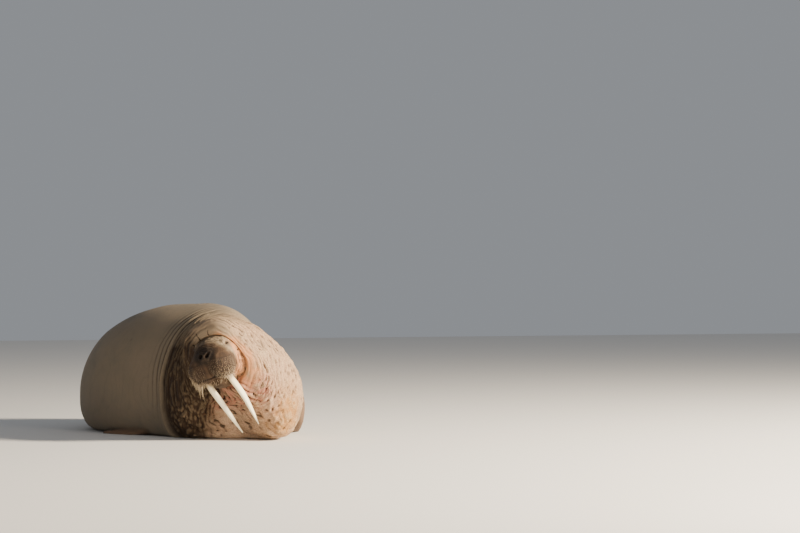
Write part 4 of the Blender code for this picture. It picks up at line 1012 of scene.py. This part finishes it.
# The eyes: small dark brown balls under the brow, with a reddish rim of white and a wet clear front
PUPIL = (0.004, 0.003, 0.003, 1)
IRIS = (0.055, 0.026, 0.012, 1)
EYE_RED = (0.33, 0.085, 0.050, 1)
glossy, tree, shader = finish("wet_eye", roughness=0.12, coat=1.0)
streaks = put(tree, "Group", {"Vector": put(tree, "TexCoord").outputs["Object"], "Scale": 160.0}, node_tree=blotches)
from_middle = held_by(tree, "from_middle")
colour = laid_over(tree, between(tree, from_middle, 0.14, 0.20), PUPIL, IRIS)
colour = laid_over(tree, times(tree, streaks.outputs["Fine"], 0.35), colour, PUPIL)
colour = laid_over(tree, between(tree, from_middle, 0.42, 0.50), colour, EYE_RED)
tree.links.new(colour, shader.inputs["Base Color"])
for side, side_name in ((1, "left"), (-1, "right")):
    eye, out = eye_centre(side)
    ahead, over = across_skin(out)
    tilt = np.linspace(0.02, math.pi - 0.02, 40)[:, None, None]
    turn = np.linspace(0.0, 2.0 * math.pi, 48, endpoint=False)[None, :, None]
    bulge = EYE_RADIUS * (1.0 - 0.012 + 0.030 * np.exp(-((tilt / 0.50) ** 4)))
    ball = eye + bulge * (np.cos(tilt) * out + np.sin(tilt) * (np.cos(turn) * ahead + np.sin(turn) * over))
    eyeball = loft("eyeball_" + side_name, from_head(ball) + shift)
    off_middle = np.repeat(np.linspace(0.0, 2.0, 40), 48)
    store(eyeball.data, "from_middle", np.concatenate([off_middle, [0.0, 2.0]]))
    eyeball.data.materials.append(glossy)
    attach(eyeball, "root")
    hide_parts("eye_" + side_name)

# The tusks: long upper teeth of solid ivory, rooted in the jaw under each pad and worn to blunt tips.
# Shallow grooves and hair cracks run along them, and they are stained brown where the gum starts.
TUSK_PATH = [  # in the head's frame, from the root in the jaw to the tip
    (0.078, 0.100, -0.140),
    (0.093, 0.044, -0.270),
    (0.094, -0.035, -0.409),
    (0.086, -0.093, -0.539),
    (0.074, -0.156, -0.684),
]
TUSK_LENGTHS = {"left": 0.92, "right": 1.0}  # shares of that path
TUSK_RADII = (0.0223, 0.0242, 0.0237, 0.0177, 0.0037)
TUSK_FLATNESS = 0.80  # side to side against front to back
TUSK_RINGS = 97
TUSK_SIDES = 56
IVORY = (1.0, 0.93, 0.68, 1)
IVORY_OLD = (0.60, 0.45, 0.25, 1)
IVORY_STAIN = (0.20, 0.11, 0.05, 1)
ivory, tree, shader = finish("tusk_ivory", roughness=0.3, coat=0.15)
along_tusk = held_by(tree, "grain", "Vector")
clouds = put(tree, "Group", {"Vector": along_tusk, "Scale": 9.0}, node_tree=blotches)
near_root = held_by(tree, "near_root")
colour = laid_over(tree, times(tree, clouds.outputs["Broad"], 0.16), IVORY, IVORY_OLD)
colour = laid_over(tree, between(tree, near_root, 0.55, 1.0, 0.0, 0.65), colour, IVORY_OLD)
hair_cracks = between(tree, clouds.outputs["Fine"], 0.82, 1.0)
colour = laid_over(tree, times(tree, hair_cracks, 0.55), colour, IVORY_STAIN)
colour = laid_over(tree, between(tree, near_root, 0.90, 1.0, 0.0, 0.8), colour, IVORY_STAIN)
tree.links.new(colour, shader.inputs["Base Color"])
tree.links.new(between(tree, clouds.outputs["Fine"], 0.0, 1.0, 0.26, 0.42), shader.inputs["Roughness"])
bump = put(tree, "Bump", {"Height": hair_cracks, "Strength": 0.5, "Distance": -0.0006})
tree.links.new(bump.outputs["Normal"], shader.inputs["Normal"])
for side, side_name in ((1, "left"), (-1, "right")):
    samples = np.linspace(0.0, len(TUSK_PATH) - 1.0, TUSK_RINGS)
    path = smooth_through(np.array(TUSK_PATH)[:, None] * (side, 1.0, 1.0), samples)[:, 0]
    path = path[0] + (path - path[0]) * TUSK_LENGTHS[side_name]
    radii = smooth_through(np.array([[(r, 0.0, 0.0)] for r in TUSK_RADII]), samples)[:, 0, 0]
    share = np.linspace(0.0, 1.0, TUSK_RINGS)
    radii = radii * np.sqrt(np.clip(1.0 - ((share - 0.985) / 0.015) ** 2, 0.05, 1.0) ** (share > 0.985))
    along = np.gradient(path, axis=0)
    along /= np.linalg.norm(along, axis=1, keepdims=True)
    first = np.array([1.0, 0.0, 0.0]) - along * along[:, :1]
    first /= np.linalg.norm(first, axis=1, keepdims=True)
    second = np.cross(along, first)
    turn = np.linspace(0.0, 2.0 * math.pi, TUSK_SIDES, endpoint=False)[None, :, None]
    grooves = -0.045 * bell(np.sin(turn + 0.4), 0.16) - 0.030 * bell(np.sin(2.0 * turn + 1.3), 0.20)
    grooves = grooves * ramp(share, 0.98, 0.80)[:, None, None]
    round_ = 1.0 + grooves - 0.0
    wide, deep = (radii * TUSK_FLATNESS)[:, None, None], radii[:, None, None]
    tooth = path[:, None] + round_ * (wide * np.cos(turn) * first[:, None] + deep * np.sin(turn) * second[:, None])
    tusk = loft("ivory_tusk_" + side_name, from_head(tooth) + shift)
    length = share[:, None] * np.ones((1, TUSK_SIDES)) * 0.6
    lines = np.stack([np.cos(turn[..., 0]) + 0.0 * length, np.sin(turn[..., 0]) + 0.0 * length, 1.2 * length + side], axis=-1)
    store(tusk.data, "grain", np.concatenate([lines.reshape(-1, 3), lines[0, :1], lines[-1, :1]]), "FLOAT_VECTOR")
    bare = np.clip((ellipsoid_depth(tooth, PAD, side) - 0.012) / 0.36, 0.0, 1.0)
    root_share = 1.0 - bare
    store(tusk.data, "near_root", np.concatenate([root_share.ravel(), [1.0, root_share[-1].mean()]]))
    tusk.data.materials.append(ivory)
    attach(tusk, "root")
    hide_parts("tusk_" + side_name)

# The whiskers: hundreds of stiff horny bristles in rows on each pad, short at the nose and longest at
# the lip's corners, where they droop, with a beard of short ones on the chin. Each is rooted in the hide.
BRISTLE_RADII = np.array([1.1, 1.0, 0.95, 0.82, 0.62, 0.40, 0.16])  # shares of its thickness
BRISTLE_SIDES = 6
BRISTLE_PATCH = 0.003
CHIN_BRISTLES = 90
BRISTLE_PALE = (0.60, 0.48, 0.31, 1)
BRISTLE_ROOT = (0.19, 0.12, 0.065, 1)
horn, tree, shader = finish("whisker_horn", roughness=0.38)
speckle = put(tree, "Group", {"Vector": put(tree, "TexCoord").outputs["Object"], "Scale": 90.0}, node_tree=blotches)
colour = laid_over(tree, between(tree, held_by(tree, "to_tip"), 0.15, 0.85), BRISTLE_ROOT, BRISTLE_PALE)
colour = laid_over(tree, times(tree, speckle.outputs["Broad"], 0.30), colour, BRISTLE_ROOT)
tree.links.new(colour, shader.inputs["Base Color"])
tree.links.new(between(tree, speckle.outputs["Fine"], 0.0, 1.0, 0.30, 0.46), shader.inputs["Roughness"])
# The nearest point of the skin gives each its place on the hide laid flat
finder = kdtree.KDTree(local.shape[0] * AROUND)
for number, spot in enumerate(local.reshape(-1, 3)):
    finder.insert(spot, number)
finder.balance()


def bristles(name, roots, ways, lengths, sags, thick):
    """Tapered bristles from roots in the skin, each bent by its own sag."""
    share = np.linspace(0.0, 1.0, len(BRISTLE_RADII) - 1)[None, :, None]
    paths = roots[:, None] + ways[:, None] * lengths[:, None, None] * share + sags[:, None] * share**2
    paths = np.concatenate([roots[:, None] - head_normal(roots)[:, None] * 0.006, paths], axis=1)
    along = np.gradient(paths, axis=1)
    along /= np.linalg.norm(along, axis=2, keepdims=True)
    first = np.cross(along, np.array([0.31, 0.95, 0.05]))
    first /= np.linalg.norm(first, axis=2, keepdims=True)
    second = np.cross(along, first)
    turn = np.linspace(0.0, 2.0 * math.pi, BRISTLE_SIDES, endpoint=False)[None, None, :, None]
    radii = (thick[:, None] * BRISTLE_RADII)[..., None, None]
    rings = paths[:, :, None] + radii * (np.cos(turn) * first[:, :, None] + np.sin(turn) * second[:, :, None])
    made = loft(name, from_head(rings) + shift)
    steps = len(BRISTLE_RADII)
    to_tip = np.concatenate([np.repeat(np.linspace(0.0, 1.0, steps), BRISTLE_SIDES), [0.0, 1.0]])
    store(made.data, "to_tip", np.tile(to_tip, len(roots)))
    spots = np.array([divmod(finder.find(root)[1], AROUND) for root in roots]) + (ring_count - local.shape[0], 0)
    flat = np.stack([spots[:, 1] / AROUND, spots[:, 0] / ring_count], axis=1)
    row = np.concatenate([np.repeat(np.arange(steps), BRISTLE_SIDES), [0, steps - 1]]) / steps
    column = np.concatenate([np.tile(np.arange(BRISTLE_SIDES), steps), [0, 0]]) / BRISTLE_SIDES
    patch = flat[:, None] + BRISTLE_PATCH * np.stack([column, row], axis=1)
    corners = np.empty(len(made.data.loops), np.int32)
    made.data.loops.foreach_get("vertex_index", corners)
    layer = made.data.uv_layers.new(name="OFBake")
    layer.uv.foreach_set("vector", patch.reshape(-1, 2)[corners].astype(np.float32).ravel())
    made.data.materials.append(horn)
    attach(made, "root")
    return made


down_way = np.array([0.0, -0.10, -1.0])
for side, side_name in ((1, "left"), (-1, "right")):
    roots, outer, down = pad_places[side]
    spread = chance.uniform(-1.0, 1.0, (len(roots), 3))
    longest = 0.030 if side > 0 else 0.080
    lengths = (0.006 + 0.009 * down * (0.35 + 0.65 * outer) + longest * down**2.5 * outer**1.3)
    lengths *= chance.uniform(0.45, 1.12, len(roots))
    ways = head_normal(roots) + 0.20 * spread
    ways += np.stack([0.20 * side * outer, 0.10 + 0.0 * outer, -0.45 - 0.60 * down], axis=1)
    ways /= np.linalg.norm(ways, axis=1, keepdims=True)
    sags = down_way * (lengths * (0.18 + 0.30 * outer))[:, None] + 0.10 * spread[:, ::-1] * lengths[:, None]
    thick = (0.0008 + 0.0008 * down * (0.3 + 0.7 * outer)) * chance.uniform(0.85, 1.15, len(roots))
    bristles("whiskers_" + side_name, roots, ways, lengths, sags, thick)
turn = np.radians(chance.uniform(-62.0, 62.0, CHIN_BRISTLES))
up = chance.uniform(-0.252, -0.212, CHIN_BRISTLES)
starts = np.stack([0.0 * up, 0.0 * up + 0.010, up], axis=1)
roots = head_surface(starts, np.stack([np.sin(turn), np.cos(turn), 0.0 * turn], axis=1))
roots = roots[ellipsoid_depth(roots, CHIN) > -0.008]
spread = chance.uniform(-1.0, 1.0, (len(roots), 3))
ways = head_normal(roots) + 0.25 * spread + down_way * 0.6
ways /= np.linalg.norm(ways, axis=1, keepdims=True)
lengths = chance.uniform(0.008, 0.017, len(roots))
bristles("chin_bristles", roots, ways, lengths, down_way * 0.2 * lengths[:, None], np.full(len(roots), 0.0009))

# The nails: small horny spikes set back on the digits of the foreflippers, larger ones on the middle
# digits of the hind ones, each growing out of the top of its digit towards the tip
NAIL_RADII = np.array([1.0, 1.15, 1.05, 0.85, 0.58, 0.24])
NAIL_SIDES = 14
NAIL_DARK = (0.050, 0.036, 0.026, 1)
NAIL_PALE = (0.24, 0.17, 0.11, 1)
nail_horn, tree, shader = finish("nail_horn", roughness=0.4)
speckle = put(tree, "Group", {"Vector": put(tree, "TexCoord").outputs["Object"], "Scale": 60.0}, node_tree=blotches)
colour = laid_over(tree, held_by(tree, "to_tip"), NAIL_DARK, NAIL_PALE)
colour = laid_over(tree, times(tree, speckle.outputs["Broad"], 0.5), colour, NAIL_DARK)
tree.links.new(colour, shader.inputs["Base Color"])
tree.links.new(between(tree, speckle.outputs["Fine"], 0.0, 1.0, 0.30, 0.50), shader.inputs["Roughness"])
nails = []
for limb, rings in enumerate(flipper_parts):
    at_ring = int((0.84 if limb < 2 else 0.80) * len(rings))
    for digit in range(DIGITS):
        column = int((digit + 0.5) * COLUMNS_PER_DIGIT)
        length = 0.017 if limb < 2 else (0.016, 0.030, 0.034, 0.030, 0.016)[digit]
        thick = 0.20 * length + 0.0008
        ahead = rings[at_ring + 4, column] - rings[at_ring - 4, column]
        beside = rings[at_ring, column + 3] - rings[at_ring, column - 3]
        ahead, beside = ahead / np.linalg.norm(ahead), beside / np.linalg.norm(beside)
        upright = np.cross(beside, ahead)
        upright *= np.sign(upright[2])
        share = np.linspace(-0.25, 1.0, len(NAIL_RADII))[:, None]
        path = rings[at_ring, column] + ahead * length * share + upright * (thick * (0.2 + 1.1 * share - 1.3 * share**2))
        turn = np.linspace(0.0, 2.0 * math.pi, NAIL_SIDES, endpoint=False)[None, :, None]
        radii = (thick * NAIL_RADII)[:, None, None]
        nails.append(path[:, None] + radii * (np.cos(turn) * beside + 0.7 * np.sin(turn) * upright))
claws = loft("claws", np.array(nails) + shift)
to_tip = np.concatenate([np.repeat(np.linspace(0.0, 1.0, len(NAIL_RADII)), NAIL_SIDES), [0.0, 1.0]])
store(claws.data, "to_tip", np.tile(to_tip, len(nails)))
claws.data.materials.append(nail_horn)
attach(claws, "root")

# A plain pale floor, one large soft warm light to the animal's left, a weak cool one and a pale room
FLOOR_REACH = 30.0
corners = [(x * FLOOR_REACH, y * FLOOR_REACH, 0.0) for x, y in ((-1, -1), (1, -1), (1, 1), (-1, 1))]
mesh = bpy.data.meshes.new("floor")
mesh.from_pydata(corners, [], [(0, 1, 2, 3)])
floor = bpy.data.objects.new("floor", mesh)
bpy.context.scene.collection.objects.link(floor)
paint, tree, shader = finish("floor_paint", roughness=0.9)
shader.inputs["Base Color"].default_value = (0.74, 0.72, 0.69, 1.0)
mesh.materials.append(paint)
AHEAD = Vector((0.4226, 0.9063, 0.0))  # the way the camera looks, and the right of its picture
TO_RIGHT = Vector((0.9063, -0.4226, 0.0))
CAMERA_PLACE = Vector((-5.1048, -14.335, 1.0193))
CAMERA_PITCH = 0.657


def area_light(name, place, size, watts, colour):
    """A round soft light that faces the animal."""
    data = bpy.data.lights.new(name, "AREA")
    data.shape = "DISK"
    data.size = size
    data.energy = watts
    data.color = colour
    lamp = bpy.data.objects.new(name, data)
    target = Vector((0.0, -0.6, 0.5))
    lamp.location = target + place
    lamp.rotation_mode = "QUATERNION"
    lamp.rotation_quaternion = (-place).to_track_quat("-Z", "Y")
    bpy.context.scene.collection.objects.link(lamp)


area_light("key", TO_RIGHT * 12.2 - AHEAD * 4.6 + Vector((0, 0, 5.2)), 2.4, 8300.0, (1.0, 0.87, 0.68))
area_light("fill", TO_RIGHT * 5.5 - AHEAD * 7.0 + Vector((0, 0, 0.6)), 2.0, 420.0, (1.0, 0.86, 0.70))
world = bpy.data.worlds.new("studio")
world.use_nodes = True
world.node_tree.nodes["Background"].inputs["Color"].default_value = (0.80, 0.84, 0.90, 1.0)
world.node_tree.nodes["Background"].inputs["Strength"].default_value = 0.34
bpy.context.scene.world = world

lens = bpy.data.cameras.new("camera")
lens.lens = 100.0
lens.sensor_width = 36.0
camera = bpy.data.objects.new("camera", lens)
camera.location = CAMERA_PLACE + Vector((shift[0], shift[1], 0.0))
pitch = math.radians(CAMERA_PITCH)
camera.rotation_mode = "QUATERNION"
look = AHEAD * math.cos(pitch) + Vector((0.0, 0.0, math.sin(pitch)))
camera.rotation_quaternion = look.to_track_quat("-Z", "Y")
bpy.context.scene.collection.objects.link(camera)
bpy.context.scene.camera = camera
